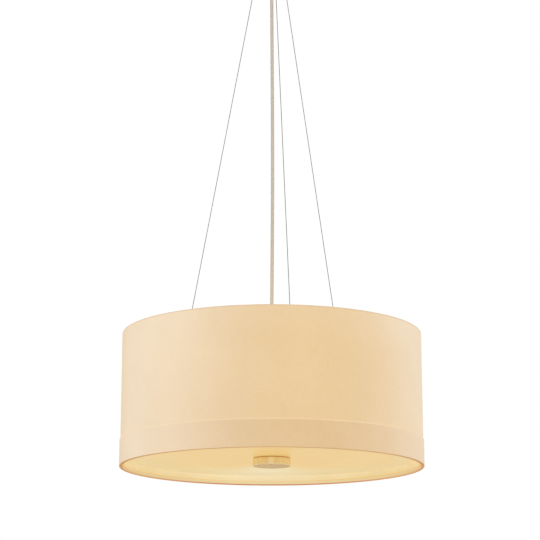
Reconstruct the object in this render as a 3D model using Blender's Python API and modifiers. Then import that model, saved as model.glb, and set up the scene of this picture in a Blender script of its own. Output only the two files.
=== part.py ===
"""A drum pendant light, hung on three steel wires from a round ceiling canopy.

The origin is the middle of the bracket's top face, which lies against the ceiling. +Z is up,
the lamp hangs below, and all lengths are metres. The fabric drum rests on a three-armed plate,
a tube down its middle carries three lamps, and a knob on the tube's end holds an opal disc.
"""

import math

import bmesh
import bpy
from mathutils import Matrix, Vector

# Clearances, and how far a cutter passes through what it cuts
gap = 0.0003
running_gap = 0.0005
overrun = 0.003
weld_distance = 0.00001

# Flat sides round a turned piece
shade_sides = 72
ring_wire_sides = 6
round_sides = 36
small_sides = 16

# Shade: a fabric drum, a second layer of fabric round its foot, and two wire rings
shade_radius = 0.250
shade_height = 0.221
fabric_wall = 0.0012
band_height = 0.0435
band_wall = 0.0010
ring_wire_radius = 0.0025
top_ring_drop = 0.0045
bottom_ring_rise = 0.0030

# Distance from the canopy down to the shade
hanging_height = 0.637

# Canopy: a spun cup that hides the bracket
canopy_radius = 0.050
canopy_height = 0.028
canopy_wall = 0.0010
canopy_edge_radius = 0.004
canopy_edge_steps = 4
canopy_rim_gap = 0.0005

# Ceiling bracket: a strip with its ends bent down
bracket_width = 0.016
bracket_thickness = 0.002
bracket_tab_height = 0.015
bracket_wall_clearance = 0.0007
bracket_slot_distance = 0.027
bracket_slot_length = 0.010
bracket_slot_radius = 0.0023
bracket_slot_sides = 12

# Two screws through the canopy's side into the bracket's ends
canopy_screw_radius = 0.002
canopy_screw_depth = 0.009
canopy_screw_inside = 0.010
canopy_screw_head_radius = 0.0045
canopy_screw_head_height = 0.003
canopy_screw_crown = 0.0008

# Terminal block under the bracket
terminal_length = 0.030
terminal_width = 0.0150
terminal_height = 0.0115
terminal_edge = 0.001
terminal_poles = 3
terminal_pitch = 0.009
terminal_hole_radius = 0.0018

# Power cord, its route, and the grips that hold it
cord_radius = 0.003
cord_point_spacing = 0.016
cord_route = [
    (0.0000, 0.0000, -0.0160),
    (0.0000, 0.0000, -0.0440),
    (0.0003, 0.0001, -0.1000),
    (0.0009, 0.0003, -0.1900),
    (0.0013, 0.0004, -0.2900),
    (0.0014, 0.0003, -0.3900),
    (0.0010, 0.0001, -0.4900),
    (0.0003, 0.0000, -0.5800),
    (0.0000, 0.0000, -0.6350),
    (0.0000, 0.0000, -0.6700),
    (0.0000, 0.0000, -0.7500),
]
grip_shank_radius = 0.005
grip_shank_rise = 0.002
grip_flange_radius = 0.008
grip_flange_height = 0.003
grip_tip_radius = 0.0045
grip_length = 0.012
grip_nut_radius = 0.009
grip_nut_height = 0.004

# Suspension wires, on a ball pivot in the canopy and a ball stop under the shade's arms
wire_count = 3
wire_radius = 0.0006
first_wire_azimuth_deg = 41.0
wire_pivot_radius = 0.030
wire_pivot_rise = 0.0075
wire_foot_inset = 0.092
wire_tail = 0.009
wire_end = 0.0015

# Swivelling gripper on each wire, with a sleeve that is pushed up to release the wire
swivel_ball_radius = 0.005
swivel_ball_steps = 6
swivel_play = 0.0004
seat_wall = 0.0024
seat_bore_radius = 0.0042
seat_arc_steps = 3
canopy_swivel_hole_radius = 0.0049
gripper_neck_radius = 0.002
gripper_drop = 0.0105
gripper_radius = 0.005
gripper_length = 0.009
gripper_crown = 0.0017
sleeve_radius = 0.0026
sleeve_stand_out = 0.0032
sleeve_travel = 0.0025

# Ball stop at each wire's foot
foot_ball_radius = 0.004
foot_ball_steps = 6
foot_hole_radius = 0.0025
foot_play = 0.0007

# Three-armed plate that carries the shade, and the clips that hold its ring down
arm_thickness = 0.003
arm_width = 0.016
arm_hub_radius = 0.042
arm_hub_steps = 6
arm_past_ring = 0.0015
clip_width = 0.010
clip_thickness = 0.001
clip_foot_length = 0.013
clip_wrap_deg = 125.0
clip_wrap_steps = 5
clip_screw_radius = 0.0015
clip_screw_head_radius = 0.003
clip_screw_head_height = 0.0016
clip_screw_below = 0.003

# Threaded tube down the middle, with its nuts
tube_radius = 0.0065
tube_bore_radius = 0.0039
tube_into_grip = 0.0075
tube_slot_height = 0.018
tube_slot_width = 0.005
nut_radius = 0.011
nut_height = 0.004
nut_sides = 6
lower_grip_radius = 0.010
lower_grip_height = 0.022
lower_grip_tip_radius = 0.005
lower_grip_shoulder = 0.012

# Cluster: the round box that the three lamp holders stand out of
cluster_centre = 0.125
cluster_radius = 0.028
cluster_height = 0.044
cluster_wall = 0.002
cluster_cover_thickness = 0.002
nipple_radius = 0.005
nipple_bore_radius = 0.0032
nipple_inside = 0.003

# Lamp holders, and the bulbs in them
holder_radius = 0.0195
holder_length = 0.052
holder_back = 0.003
bulb_cap_radius = 0.0133
bulb_cap_length = 0.027
bulb_contact_radius = 0.005
bulb_contact_length = 0.002
bulb_collar_radius = 0.0165
bulb_neck_radius = 0.0225
bulb_neck_length = 0.024
bulb_globe_radius = 0.030
bulb_globe_wall = 0.0012
bulb_globe_steps = 7

# Opal disc, what stops it from above, and the knob under it
disc_height = 0.016
disc_thickness = 0.003
disc_edge = 0.0006
disc_ring_clearance = 0.001
disc_washer_radius = 0.016
disc_washer_thickness = 0.0015
knob_radius = 0.03075
knob_height = 0.0132
knob_edge = 0.0005
knob_bore_depth = 0.0104
knob_bore_end_gap = 0.0007

# Heights that the sizes above give
canopy_under = -canopy_height
plate_top = canopy_under + canopy_wall
shade_bottom = canopy_under - hanging_height - shade_height
top_ring_height = shade_bottom + shade_height - top_ring_drop
arm_top = top_ring_height - ring_wire_radius - gap
arm_under = arm_top - arm_thickness
pivot_height = canopy_under + wire_pivot_rise
foot_depth = math.sqrt(foot_ball_radius ** 2 - foot_hole_radius ** 2) + foot_play
foot_height = arm_under - foot_depth
cluster_height_centre = shade_bottom + cluster_centre
disc_under = shade_bottom + disc_height
knob_top = disc_under - gap
knob_bottom = knob_top - knob_height
nut_top = arm_top + gap + nut_height
tube_bottom = knob_top - knob_bore_depth + knob_bore_end_gap
tube_top = nut_top + gap + tube_into_grip

# Radii and directions that the sizes above give
fabric_inside = shade_radius - fabric_wall
wire_foot_radius = shade_radius - wire_foot_inset
ring_radius = fabric_inside - gap - ring_wire_radius
tube_hole_radius = tube_radius + gap
cord_bore_radius = cord_radius + gap
wire_bore_radius = wire_radius + gap
holder_start = cluster_radius + gap
holder_end = holder_start + holder_length
wire_azimuths = [
    math.radians(first_wire_azimuth_deg) + turn * math.tau / wire_count for turn in range(wire_count)
]
lamp_azimuths = [azimuth + math.pi / wire_count for azimuth in wire_azimuths]


def clear_scene():
    """Remove the scene's objects."""
    for item in list(bpy.data.objects):
        bpy.data.objects.remove(item, do_unlink=True)


def new_collection(name):
    """Make a collection in the scene."""
    collection = bpy.data.collections.new(name)
    bpy.context.scene.collection.children.link(collection)
    return collection


clear_scene()
parts = new_collection("pendant_light")
cutters = new_collection("pendant_light_cutters")


def new_finish(name, colour, roughness, metallic):
    """Make one material from its colour, roughness and metallic value."""
    finish = bpy.data.materials.new(name)
    finish.use_nodes = True
    shader = finish.node_tree.nodes["Principled BSDF"]
    shader.inputs["Base Color"].default_value = (*colour, 1)
    shader.inputs["Roughness"].default_value = roughness
    shader.inputs["Metallic"].default_value = metallic
    finish.diffuse_color = (*colour, 1)
    return finish


finish_values = {
    "cream_fabric": ((0.86, 0.72, 0.52), 0.9, 0.0),
    "band_fabric": ((0.84, 0.70, 0.50), 0.9, 0.0),
    "opal": ((0.88, 0.76, 0.50), 0.25, 0.0),
    "satin_metal": ((0.72, 0.62, 0.46), 0.35, 1.0),
    "white_steel": ((0.85, 0.85, 0.83), 0.4, 0.0),
    "zinc_steel": ((0.66, 0.66, 0.65), 0.35, 1.0),
    "wire_steel": ((0.55, 0.55, 0.55), 0.3, 1.0),
    "brass": ((0.75, 0.57, 0.28), 0.3, 1.0),
    "cord_textile": ((0.64, 0.55, 0.45), 0.95, 0.0),
    "white_plastic": ((0.85, 0.84, 0.80), 0.45, 0.0),
    "bulb_globe": ((0.93, 0.92, 0.88), 0.3, 0.0),
}
finishes = {}


def dress(item, finish_name):
    """Give a piece its material, made the first time that it is asked for."""
    if finish_name not in finishes:
        finishes[finish_name] = new_finish(finish_name, *finish_values[finish_name])
    item.data.materials.append(finishes[finish_name])


def upright(height):
    """Place a piece on the lamp's axis with its own zero at a height."""
    return Matrix.Translation((0, 0, height))


def along(start, direction):
    """Place a piece with its zero at start and its own +Z along a direction."""
    return Matrix.Translation(start) @ direction.to_track_quat("Z", "Y").to_matrix().to_4x4()


def put(item, place):
    """Set an object's location and rotation from a matrix."""
    item.location = place.to_translation()
    item.rotation_euler = place.to_euler()


def turned(name, profile, sides, finish_name, place, closed=True):
    """Turn a profile of (radius, height) points about the piece's own Z axis.

    The points run down the outer side. A closed profile is a wall round a bore, and an open one
    starts and ends on the axis.
    """
    count = len(profile)
    edges = [(point, point + 1) for point in range(count - 1)]
    if closed:
        edges.append((count - 1, 0))
    mesh = bpy.data.meshes.new(name)
    mesh.from_pydata([(radius, 0, height) for radius, height in profile], edges, [])
    item = bpy.data.objects.new(name, mesh)
    parts.objects.link(item)
    screw = item.modifiers.new("Turn", "SCREW")
    screw.axis = "Z"
    screw.angle = math.tau
    screw.steps = sides
    screw.render_steps = sides
    screw.use_merge_vertices = True
    screw.merge_threshold = weld_distance
    screw.use_smooth_shade = True
    dress(item, finish_name)
    put(item, place)
    return item


def circle(radius, sides, centre=(0, 0)):
    """Points of a regular outline with its corners on a circle."""
    turns = [math.tau * side / sides for side in range(sides)]
    return [(centre[0] + radius * math.cos(turn), centre[1] + radius * math.sin(turn)) for turn in turns]


def drawn_curve(name, point_lists, flat, cyclic):
    """Make a curve of straight segments through each list of points."""
    curve = bpy.data.curves.new(name, "CURVE")
    curve.dimensions = "2D" if flat else "3D"
    for points in point_lists:
        spline = curve.splines.new("POLY")
        spline.points.add(len(points) - 1)
        for target, point in zip(spline.points, points):
            target.co = (*point, 0, 1) if flat else (*point, 1)
        spline.use_cyclic_u = cyclic
    return curve


def mesh_of(curve_item, name):
    """Read a curve object as a mesh object of another name, with its caps welded on."""
    bpy.context.view_layer.update()
    depsgraph = bpy.context.evaluated_depsgraph_get()
    mesh = bpy.data.meshes.new_from_object(curve_item.evaluated_get(depsgraph))
    place = curve_item.matrix_world.copy()
    curve = curve_item.data
    bpy.data.objects.remove(curve_item, do_unlink=True)
    bpy.data.curves.remove(curve)
    weld = bmesh.new()
    weld.from_mesh(mesh)
    bmesh.ops.remove_doubles(weld, verts=weld.verts, dist=weld_distance)
    weld.to_mesh(mesh)
    weld.free()
    mesh.name = name
    item = bpy.data.objects.new(name, mesh)
    parts.objects.link(item)
    put(item, place)
    return item


def plate(name, outlines, thickness, finish_name, place):
    """Fill a flat outline, less the holes that the other outlines make in it, to a thickness."""
    curve = drawn_curve(name + "_outline", outlines, flat=True, cyclic=True)
    curve.fill_mode = "BOTH"
    curve.extrude = thickness / 2
    drawing = bpy.data.objects.new(name + "_outline", curve)
    parts.objects.link(drawing)
    put(drawing, place)
    item = mesh_of(drawing, name)
    item.data.materials.clear()
    dress(item, finish_name)
    return item


def ribbon(name, points, width, thickness, finish_name, place):
    """Bend a strip of even thickness along a flat path."""
    curve = drawn_curve(name + "_path", [points], flat=True, cyclic=False)
    curve.fill_mode = "NONE"
    curve.extrude = width / 2
    path = bpy.data.objects.new(name + "_path", curve)
    parts.objects.link(path)
    put(path, place)
    item = mesh_of(path, name)
    shell = item.modifiers.new("Thickness", "SOLIDIFY")
    shell.thickness = thickness
    shell.offset = 0
    shell.use_even_offset = True
    dress(item, finish_name)
    return item


def tube(name, points, radius, finish_name):
    """Run a round tube along a list of points, with its ends closed."""
    curve = drawn_curve(name, [points], flat=False, cyclic=False)
    curve.bevel_depth = radius
    curve.bevel_resolution = 2
    curve.use_fill_caps = True
    item = bpy.data.objects.new(name, curve)
    parts.objects.link(item)
    dress(item, finish_name)
    return item


def block(name, size, place, collection, edge=0):
    """Make a box, with its edges rounded where an edge radius is given."""
    mesh = bpy.data.meshes.new(name)
    cube = bmesh.new()
    bmesh.ops.create_cube(cube, size=1, matrix=Matrix.Diagonal((*size, 1)))
    cube.to_mesh(mesh)
    cube.free()
    item = bpy.data.objects.new(name, mesh)
    collection.objects.link(item)
    if edge:
        rounding = item.modifiers.new("Edges", "BEVEL")
        rounding.width = edge
        rounding.segments = 2
    put(item, place)
    return item


def cut(item, cutter):
    """Take a cutter's shape out of a piece."""
    cutter.hide_render = True
    cutter.display_type = "WIRE"
    removal = item.modifiers.new("Cut", "BOOLEAN")
    removal.operation = "DIFFERENCE"
    removal.solver = "EXACT"
    removal.object = cutter


def drill(item, name, radius, place, length, sides=small_sides):
    """Drill a round hole through a piece, centred on a place and along its own Z."""
    mesh = bpy.data.meshes.new(name)
    rod = bmesh.new()
    bmesh.ops.create_cone(
        rod, cap_ends=True, segments=sides, radius1=radius, radius2=radius, depth=length
    )
    rod.to_mesh(mesh)
    rod.free()
    cutter = bpy.data.objects.new(name, mesh)
    cutters.objects.link(cutter)
    put(cutter, place)
    cut(item, cutter)


def ball_arc(radius, start_radius, end_radius, steps):
    """Points down a ball's outer side, from one bore radius over its middle to another."""
    start = math.asin(start_radius / radius)
    end = math.pi - math.asin(end_radius / radius)
    turns = [start + (end - start) * step / steps for step in range(steps + 1)]
    return [(radius * math.sin(turn), radius * math.cos(turn)) for turn in turns]


def pivot(name, place):
    """Make the empty that stands on a joint's axis."""
    empty = bpy.data.objects.new(name, None)
    parts.objects.link(empty)
    put(empty, place)
    return empty


def carry(carrier, items):
    """Parent pieces to a joint's empty, leaving them where they are."""
    bpy.context.view_layer.update()
    for item in items:
        item.parent = carrier
        item.matrix_parent_inverse = carrier.matrix_world.inverted()


def radial(azimuth):
    """The level direction at an azimuth."""
    return Vector((math.cos(azimuth), math.sin(azimuth), 0))


def wire_pivot_point(azimuth):
    """Where a wire's ball pivot stands in the canopy."""
    return radial(azimuth) * wire_pivot_radius + Vector((0, 0, pivot_height))


def wire_foot_point(azimuth):
    """Where the ball at a wire's foot stands under its arm."""
    return radial(azimuth) * wire_foot_radius + Vector((0, 0, foot_height))


def wire_up(azimuth):
    """The direction up a wire."""
    return (wire_pivot_point(azimuth) - wire_foot_point(azimuth)).normalized()


def make_bracket():
    """The strip screwed to the ceiling, with slots for its screws and its ends bent down."""
    clear_radius = canopy_radius - canopy_wall - bracket_wall_clearance
    reach = math.sqrt(clear_radius ** 2 - (bracket_width / 2) ** 2)
    inner = reach - bracket_thickness
    outline = [
        (-reach, -bracket_tab_height),
        (-inner, -bracket_tab_height),
        (-inner, -bracket_thickness),
        (inner, -bracket_thickness),
        (inner, -bracket_tab_height),
        (reach, -bracket_tab_height),
        (reach, 0),
        (-reach, 0),
    ]
    stood_up = Matrix.Rotation(math.pi / 2, 4, "X")
    bracket = plate("ceiling_bracket", [outline], bracket_width, "zinc_steel", stood_up)
    slot_middle = bracket_slot_length - 2 * bracket_slot_radius
    slot_depth = bracket_thickness + 2 * overrun
    for side in (-1, 1):
        for end in (-1, 1):
            centre = (side * bracket_slot_distance + end * slot_middle / 2, 0, -bracket_thickness / 2)
            drill(bracket, "slot_end", bracket_slot_radius, Matrix.Translation(centre), slot_depth,
                  bracket_slot_sides)
        middle = Matrix.Translation((side * bracket_slot_distance, 0, -bracket_thickness / 2))
        size = (slot_middle, 2 * bracket_slot_radius, slot_depth)
        cut(bracket, block("slot_middle", size, middle, cutters))
        bore = Vector((side * (reach - bracket_thickness / 2), 0, -canopy_screw_depth))
        drill(bracket, "bracket_screw_hole", canopy_screw_radius + gap, along(bore, Vector((1, 0, 0))),
              bracket_thickness + 2 * overrun)


def make_canopy():
    """The cup: an outer side and floor of even wall, with holes for the cord, wires and screws."""
    rim = -canopy_rim_gap
    inner_edge = canopy_edge_radius - canopy_wall
    corner = (canopy_radius - canopy_edge_radius, canopy_under + canopy_edge_radius)
    turns = [math.pi / 2 * step / canopy_edge_steps for step in range(canopy_edge_steps + 1)]
    outer = [
        (corner[0] + canopy_edge_radius * math.cos(turn), corner[1] - canopy_edge_radius * math.sin(turn))
        for turn in turns
    ]
    inner = [
        (corner[0] + inner_edge * math.cos(turn), corner[1] - inner_edge * math.sin(turn))
        for turn in reversed(turns)
    ]
    hole = grip_shank_radius + gap
    profile = [(canopy_radius, rim), *outer, (hole, canopy_under), (hole, plate_top), *inner]
    profile.append((canopy_radius - canopy_wall, rim))
    canopy = turned("canopy_cup", profile, round_sides, "white_steel", Matrix())
    floor_depth = canopy_wall + 2 * overrun
    for azimuth in wire_azimuths:
        centre = radial(azimuth) * wire_pivot_radius + Vector((0, 0, canopy_under + canopy_wall / 2))
        drill(canopy, "swivel_hole", canopy_swivel_hole_radius, Matrix.Translation(centre), floor_depth)
    for side in (-1, 1):
        bore = Vector((side * (canopy_radius - canopy_wall / 2), 0, -canopy_screw_depth))
        drill(canopy, "canopy_screw_hole", canopy_screw_radius + gap, along(bore, Vector((1, 0, 0))),
              canopy_wall + 2 * overrun)


def make_canopy_screws():
    """Two screws with crowned heads, one from each side."""
    crown_radius = canopy_screw_head_radius - canopy_screw_crown
    profile = [
        (0, canopy_screw_head_height),
        (crown_radius, canopy_screw_head_height),
        (canopy_screw_head_radius, canopy_screw_head_height - canopy_screw_crown),
        (canopy_screw_head_radius, 0),
        (canopy_screw_radius, 0),
        (canopy_screw_radius, -canopy_screw_inside),
        (0, -canopy_screw_inside),
    ]
    for side, name in ((-1, "canopy_screw_left"), (1, "canopy_screw_right")):
        outward = Vector((side, 0, 0))
        seat = outward * (canopy_radius + gap) + Vector((0, 0, -canopy_screw_depth))
        turned(name, profile, small_sides, "zinc_steel", along(seat, outward), closed=False)


def make_terminal_block():
    """The plastic block that joins the cord to the house wiring, with a hole for each pole."""
    centre = Vector((0, 0, -bracket_thickness - gap - terminal_height / 2))
    size = (terminal_length, terminal_width, terminal_height)
    terminal = block("terminal_block", size, Matrix.Translation(centre), parts, terminal_edge)
    dress(terminal, "white_plastic")
    for pole in range(terminal_poles):
        shift = (pole - (terminal_poles - 1) / 2) * terminal_pitch
        place = along(centre + Vector((shift, 0, 0)), Vector((0, 1, 0)))
        drill(terminal, "pole_hole", terminal_hole_radius, place, terminal_width + 2 * overrun)


def make_upper_grip():
    """The cord grip in the canopy's floor, and the nut that holds it."""
    under = canopy_under - gap
    top = plate_top + gap + grip_nut_height + grip_shank_rise
    tip = under - grip_length
    profile = [
        (grip_shank_radius, top),
        (grip_shank_radius, under),
        (grip_flange_radius, under),
        (grip_flange_radius, under - grip_flange_height),
        (grip_tip_radius, tip),
        (cord_bore_radius, tip),
        (cord_bore_radius, top),
    ]
    turned("cord_grip_upper", profile, small_sides, "white_plastic", Matrix())
    nut_middle = plate_top + gap + grip_nut_height / 2
    outlines = [circle(grip_nut_radius, nut_sides), circle(grip_shank_radius + gap, small_sides)]
    plate("cord_grip_nut", outlines, grip_nut_height, "white_plastic", upright(nut_middle))


def smooth_route(route, spacing):
    """Points a spacing apart along a smooth curve through the route's own points.

    Each stretch is a cubic whose slope at a point is the chord between that point's neighbours,
    over the length run between them.
    """
    points = [Vector(point) for point in route]
    runs = [0.0]
    for before, after in zip(points, points[1:]):
        runs.append(runs[-1] + (after - before).length)
    last = len(points) - 1
    slopes = []
    for place in range(len(points)):
        low, high = max(place - 1, 0), min(place + 1, last)
        slopes.append((points[high] - points[low]) / (runs[high] - runs[low]))
    count = round(runs[-1] / spacing)
    path = []
    stretch = 0
    for step in range(count + 1):
        run = runs[-1] * step / count
        while stretch < last - 1 and run > runs[stretch + 1]:
            stretch += 1
        span = runs[stretch + 1] - runs[stretch]
        share = (run - runs[stretch]) / span
        start_weight = 2 * share ** 3 - 3 * share ** 2 + 1
        start_slope = (share ** 3 - 2 * share ** 2 + share) * span
        end_slope = (share ** 3 - share ** 2) * span
        path.append(
            points[stretch] * start_weight
            + points[stretch + 1] * (1 - start_weight)
            + slopes[stretch] * start_slope
            + slopes[stretch + 1] * end_slope
        )
    return path


def make_power_cord():
    """The textile cord, from the terminal block down into the tube at the cluster."""
    tube("power_cord", smooth_route(cord_route, cord_point_spacing), cord_radius, "cord_textile")


def make_gripper_seats():
    """The cup that each wire's swivel ball sits in, on the canopy's floor."""
    cup_radius = swivel_ball_radius + swivel_play
    outer_radius = cup_radius + seat_wall
    bottom = plate_top + gap - pivot_height
    start = math.asin(seat_bore_radius / cup_radius)
    turns = [start + (math.pi / 2 - start) * step / seat_arc_steps for step in range(seat_arc_steps + 1)]
    cup = [(cup_radius * math.sin(turn), -cup_radius * math.cos(turn)) for turn in turns]
    profile = [(outer_radius, 0), (outer_radius, bottom), (seat_bore_radius, bottom), *cup]
    for number, azimuth in enumerate(wire_azimuths, 1):
        place = Matrix.Translation(wire_pivot_point(azimuth))
        turned(f"gripper_seat_{number}", profile, small_sides, "zinc_steel", place)


def make_wires():
    """Each wire with its gripper, its release sleeve and the ball at its foot."""
    gripper_bottom = -gripper_drop - gripper_length
    sleeve_bore = sleeve_radius + running_gap
    cavity_top = -gripper_drop - gripper_crown
    ball = ball_arc(swivel_ball_radius, wire_bore_radius, gripper_neck_radius, swivel_ball_steps)
    gripper_profile = [
        *ball,
        (gripper_neck_radius, -gripper_drop),
        (gripper_radius, -gripper_drop),
        (gripper_radius, gripper_bottom),
        (sleeve_bore, gripper_bottom),
        (sleeve_bore, cavity_top),
        (wire_bore_radius, cavity_top),
    ]
    sleeve_top = cavity_top - sleeve_travel - gap
    sleeve_bottom = gripper_bottom - sleeve_stand_out
    sleeve_profile = [
        (sleeve_radius, sleeve_top),
        (sleeve_radius, sleeve_bottom),
        (wire_bore_radius, sleeve_bottom),
        (wire_bore_radius, sleeve_top),
    ]
    foot_profile = ball_arc(foot_ball_radius, wire_bore_radius, wire_bore_radius, foot_ball_steps)
    for number, azimuth in enumerate(wire_azimuths, 1):
        top, foot, up = wire_pivot_point(azimuth), wire_foot_point(azimuth), wire_up(azimuth)
        swing = pivot(f"wire_{number}_pivot", along(top, up))
        gripper = turned(f"gripper_body_{number}", gripper_profile, small_sides, "brass", along(top, up))
        sleeve = turned(f"release_sleeve_{number}", sleeve_profile, small_sides, "brass", along(top, up))
        stop = turned(f"wire_stop_{number}", foot_profile, small_sides, "zinc_steel", along(foot, up))
        low_end = foot - up * (foot_ball_radius + wire_end)
        wire = tube(f"suspension_wire_{number}", [low_end, top + up * wire_tail], wire_radius, "wire_steel")
        carry(swing, [gripper, sleeve, stop, wire])


def make_shade():
    """The fabric drum, the band round its foot, and the rings inside its edges."""
    fabric = [
        (shade_radius, shade_height),
        (shade_radius, 0),
        (fabric_inside, 0),
        (fabric_inside, shade_height),
    ]
    band_inside = shade_radius + gap
    band_outside = band_inside + band_wall
    band = [(band_outside, band_height), (band_outside, 0), (band_inside, 0), (band_inside, band_height)]
    base = upright(shade_bottom)
    made = [
        turned("shade_fabric", fabric, shade_sides, "cream_fabric", base),
        turned("lower_band", band, shade_sides, "band_fabric", base),
    ]
    rings = (("shade_top_ring", top_ring_height), ("shade_bottom_ring", shade_bottom + bottom_ring_rise))
    for name, height in rings:
        bpy.ops.mesh.primitive_torus_add(
            major_radius=ring_radius,
            minor_radius=ring_wire_radius,
            major_segments=shade_sides,
            minor_segments=ring_wire_sides,
            location=(0, 0, height),
        )
        ring = bpy.context.object
        ring.name = name
        ring.data.shade_smooth()
        for collection in ring.users_collection:
            collection.objects.unlink(ring)
        parts.objects.link(ring)
        dress(ring, "white_steel")
        made.append(ring)
    return made


def arm_plate_outline(arm_end):
    """A hub circle with three straight arms standing out of it."""
    half_width = arm_width / 2
    root = math.sqrt(arm_hub_radius ** 2 - half_width ** 2)
    half_angle = math.asin(half_width / arm_hub_radius)
    between = math.tau / wire_count - 2 * half_angle
    outline = []
    for azimuth in wire_azimuths:
        out = Vector((math.cos(azimuth), math.sin(azimuth)))
        aside = Vector((-out.y, out.x))
        outline.append(out * root - aside * half_width)
        outline.append(out * arm_end - aside * half_width)
        outline.append(out * arm_end + aside * half_width)
        outline.append(out * root + aside * half_width)
        for step in range(1, arm_hub_steps):
            turn = azimuth + half_angle + between * step / arm_hub_steps
            outline.append(Vector((math.cos(turn), math.sin(turn))) * arm_hub_radius)
    return [tuple(point) for point in outline]


def clip_screw_reach():
    """How far out the clips' screws stand: the middle of the clips' feet."""
    wrap = ring_wire_radius + gap + clip_thickness / 2
    return ring_radius - wrap - clip_foot_length / 2


def make_arm_plate():
    """The three-armed plate, with holes for the tube, the wires and the clips' screws."""
    holes = [circle(tube_hole_radius, small_sides)]
    for azimuth in wire_azimuths:
        out = radial(azimuth)
        holes.append(circle(foot_hole_radius, small_sides, (out * wire_foot_radius).xy))
        holes.append(circle(clip_screw_radius + gap, small_sides, (out * clip_screw_reach()).xy))
    outline = arm_plate_outline(ring_radius + arm_past_ring)
    middle = upright(arm_top - arm_thickness / 2)
    return [plate("arm_plate", [outline, *holes], arm_thickness, "white_steel", middle)]


def make_ring_clips():
    """The strap that wraps over the top ring at each arm's end, and the screw that holds it."""
    wrap = ring_wire_radius + gap + clip_thickness / 2
    foot_level = gap + clip_thickness / 2
    ring_level = gap + ring_wire_radius
    turns = [
        math.pi - math.radians(clip_wrap_deg) * step / clip_wrap_steps for step in range(clip_wrap_steps + 1)
    ]
    over_ring = [(ring_radius + wrap * math.cos(turn), ring_level + wrap * math.sin(turn)) for turn in turns]
    heel = ring_radius - wrap
    path = [(heel - clip_foot_length, foot_level), (heel, foot_level), *over_ring]
    screw_top = gap + clip_thickness + gap
    head_top = screw_top + clip_screw_head_height
    screw_tip = -arm_thickness - clip_screw_below
    screw_profile = [
        (0, head_top),
        (clip_screw_head_radius, head_top),
        (clip_screw_head_radius, screw_top),
        (clip_screw_radius, screw_top),
        (clip_screw_radius, screw_tip),
        (0, screw_tip),
    ]
    made = []
    for number, azimuth in enumerate(wire_azimuths, 1):
        stood_up = upright(arm_top) @ Matrix.Rotation(azimuth, 4, "Z") @ Matrix.Rotation(math.pi / 2, 4, "X")
        clip = ribbon(f"ring_clip_{number}", path, clip_width, clip_thickness, "zinc_steel", stood_up)
        place = Matrix.Translation(radial(azimuth) * clip_screw_reach()) @ upright(arm_top)
        drill(clip, "clip_hole", clip_screw_radius + gap, place, 2 * (foot_level + overrun))
        screw = turned(f"clip_screw_{number}", screw_profile, small_sides, "zinc_steel", place, closed=False)
        made += [clip, screw]
    return made


def nut(name, height):
    """A six-sided nut on the tube, with its underside at a height."""
    outlines = [circle(nut_radius, nut_sides), circle(tube_hole_radius, small_sides)]
    return plate(name, outlines, nut_height, "zinc_steel", upright(height + nut_height / 2))


def make_tube():
    """The threaded tube with a slot for the leads, its nuts at the plate, and the lower cord grip."""
    profile = [
        (tube_radius, tube_top),
        (tube_radius, tube_bottom),
        (tube_bore_radius, tube_bottom),
        (tube_bore_radius, tube_top),
    ]
    middle_tube = turned("threaded_tube", profile, small_sides, "zinc_steel", Matrix())
    slot = (tube_slot_width, 2 * tube_radius + 2 * overrun, tube_slot_height)
    cut(middle_tube, block("lead_slot", slot, upright(cluster_height_centre), cutters))
    grip_bottom = nut_top + gap
    grip_top = grip_bottom + lower_grip_height
    socket_top = tube_top + gap
    grip_profile = [
        (lower_grip_tip_radius, grip_top),
        (lower_grip_radius, grip_bottom + lower_grip_shoulder),
        (lower_grip_radius, grip_bottom),
        (tube_hole_radius, grip_bottom),
        (tube_hole_radius, socket_top),
        (cord_bore_radius, socket_top),
        (cord_bore_radius, grip_top),
    ]
    return [
        middle_tube,
        turned("cord_grip_lower", grip_profile, small_sides, "white_plastic", Matrix()),
        nut("plate_nut_upper", arm_top + gap),
        nut("plate_nut_lower", arm_under - gap - nut_height),
    ]


def make_cluster():
    """The round box on the tube, its cover and nuts, and the nipples that carry the holders."""
    bottom = cluster_height_centre - cluster_height / 2
    top = bottom + cluster_height
    floor = bottom + cluster_wall
    inside = cluster_radius - cluster_wall
    profile = [
        (cluster_radius, top),
        (cluster_radius, bottom),
        (tube_hole_radius, bottom),
        (tube_hole_radius, floor),
        (inside, floor),
        (inside, top),
    ]
    body = turned("cluster_body", profile, round_sides, "white_steel", Matrix())
    cover_bottom = top + gap
    cover_outlines = [circle(cluster_radius, round_sides), circle(tube_hole_radius, small_sides)]
    cover_middle = upright(cover_bottom + cluster_cover_thickness / 2)
    cover = plate("cluster_cover", cover_outlines, cluster_cover_thickness, "white_steel", cover_middle)
    upper_nut = nut("cluster_nut_upper", cover_bottom + cluster_cover_thickness + gap)
    lower_nut = nut("cluster_nut_lower", bottom - gap - nut_height)
    made = [body, cover, upper_nut, lower_nut]
    start = inside - nipple_inside
    end = holder_start + holder_back + nipple_inside
    nipple_profile = [
        (nipple_radius, end),
        (nipple_radius, start),
        (nipple_bore_radius, start),
        (nipple_bore_radius, end),
    ]
    centre = Vector((0, 0, cluster_height_centre))
    for number, azimuth in enumerate(lamp_azimuths, 1):
        out = radial(azimuth)
        wall_middle = centre + out * (cluster_radius - cluster_wall / 2)
        hole_length = cluster_wall + 2 * overrun
        drill(body, "nipple_hole", nipple_radius + gap, along(wall_middle, out), hole_length)
        name = f"holder_nipple_{number}"
        made.append(turned(name, nipple_profile, small_sides, "zinc_steel", along(centre, out)))
    return made


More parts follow.
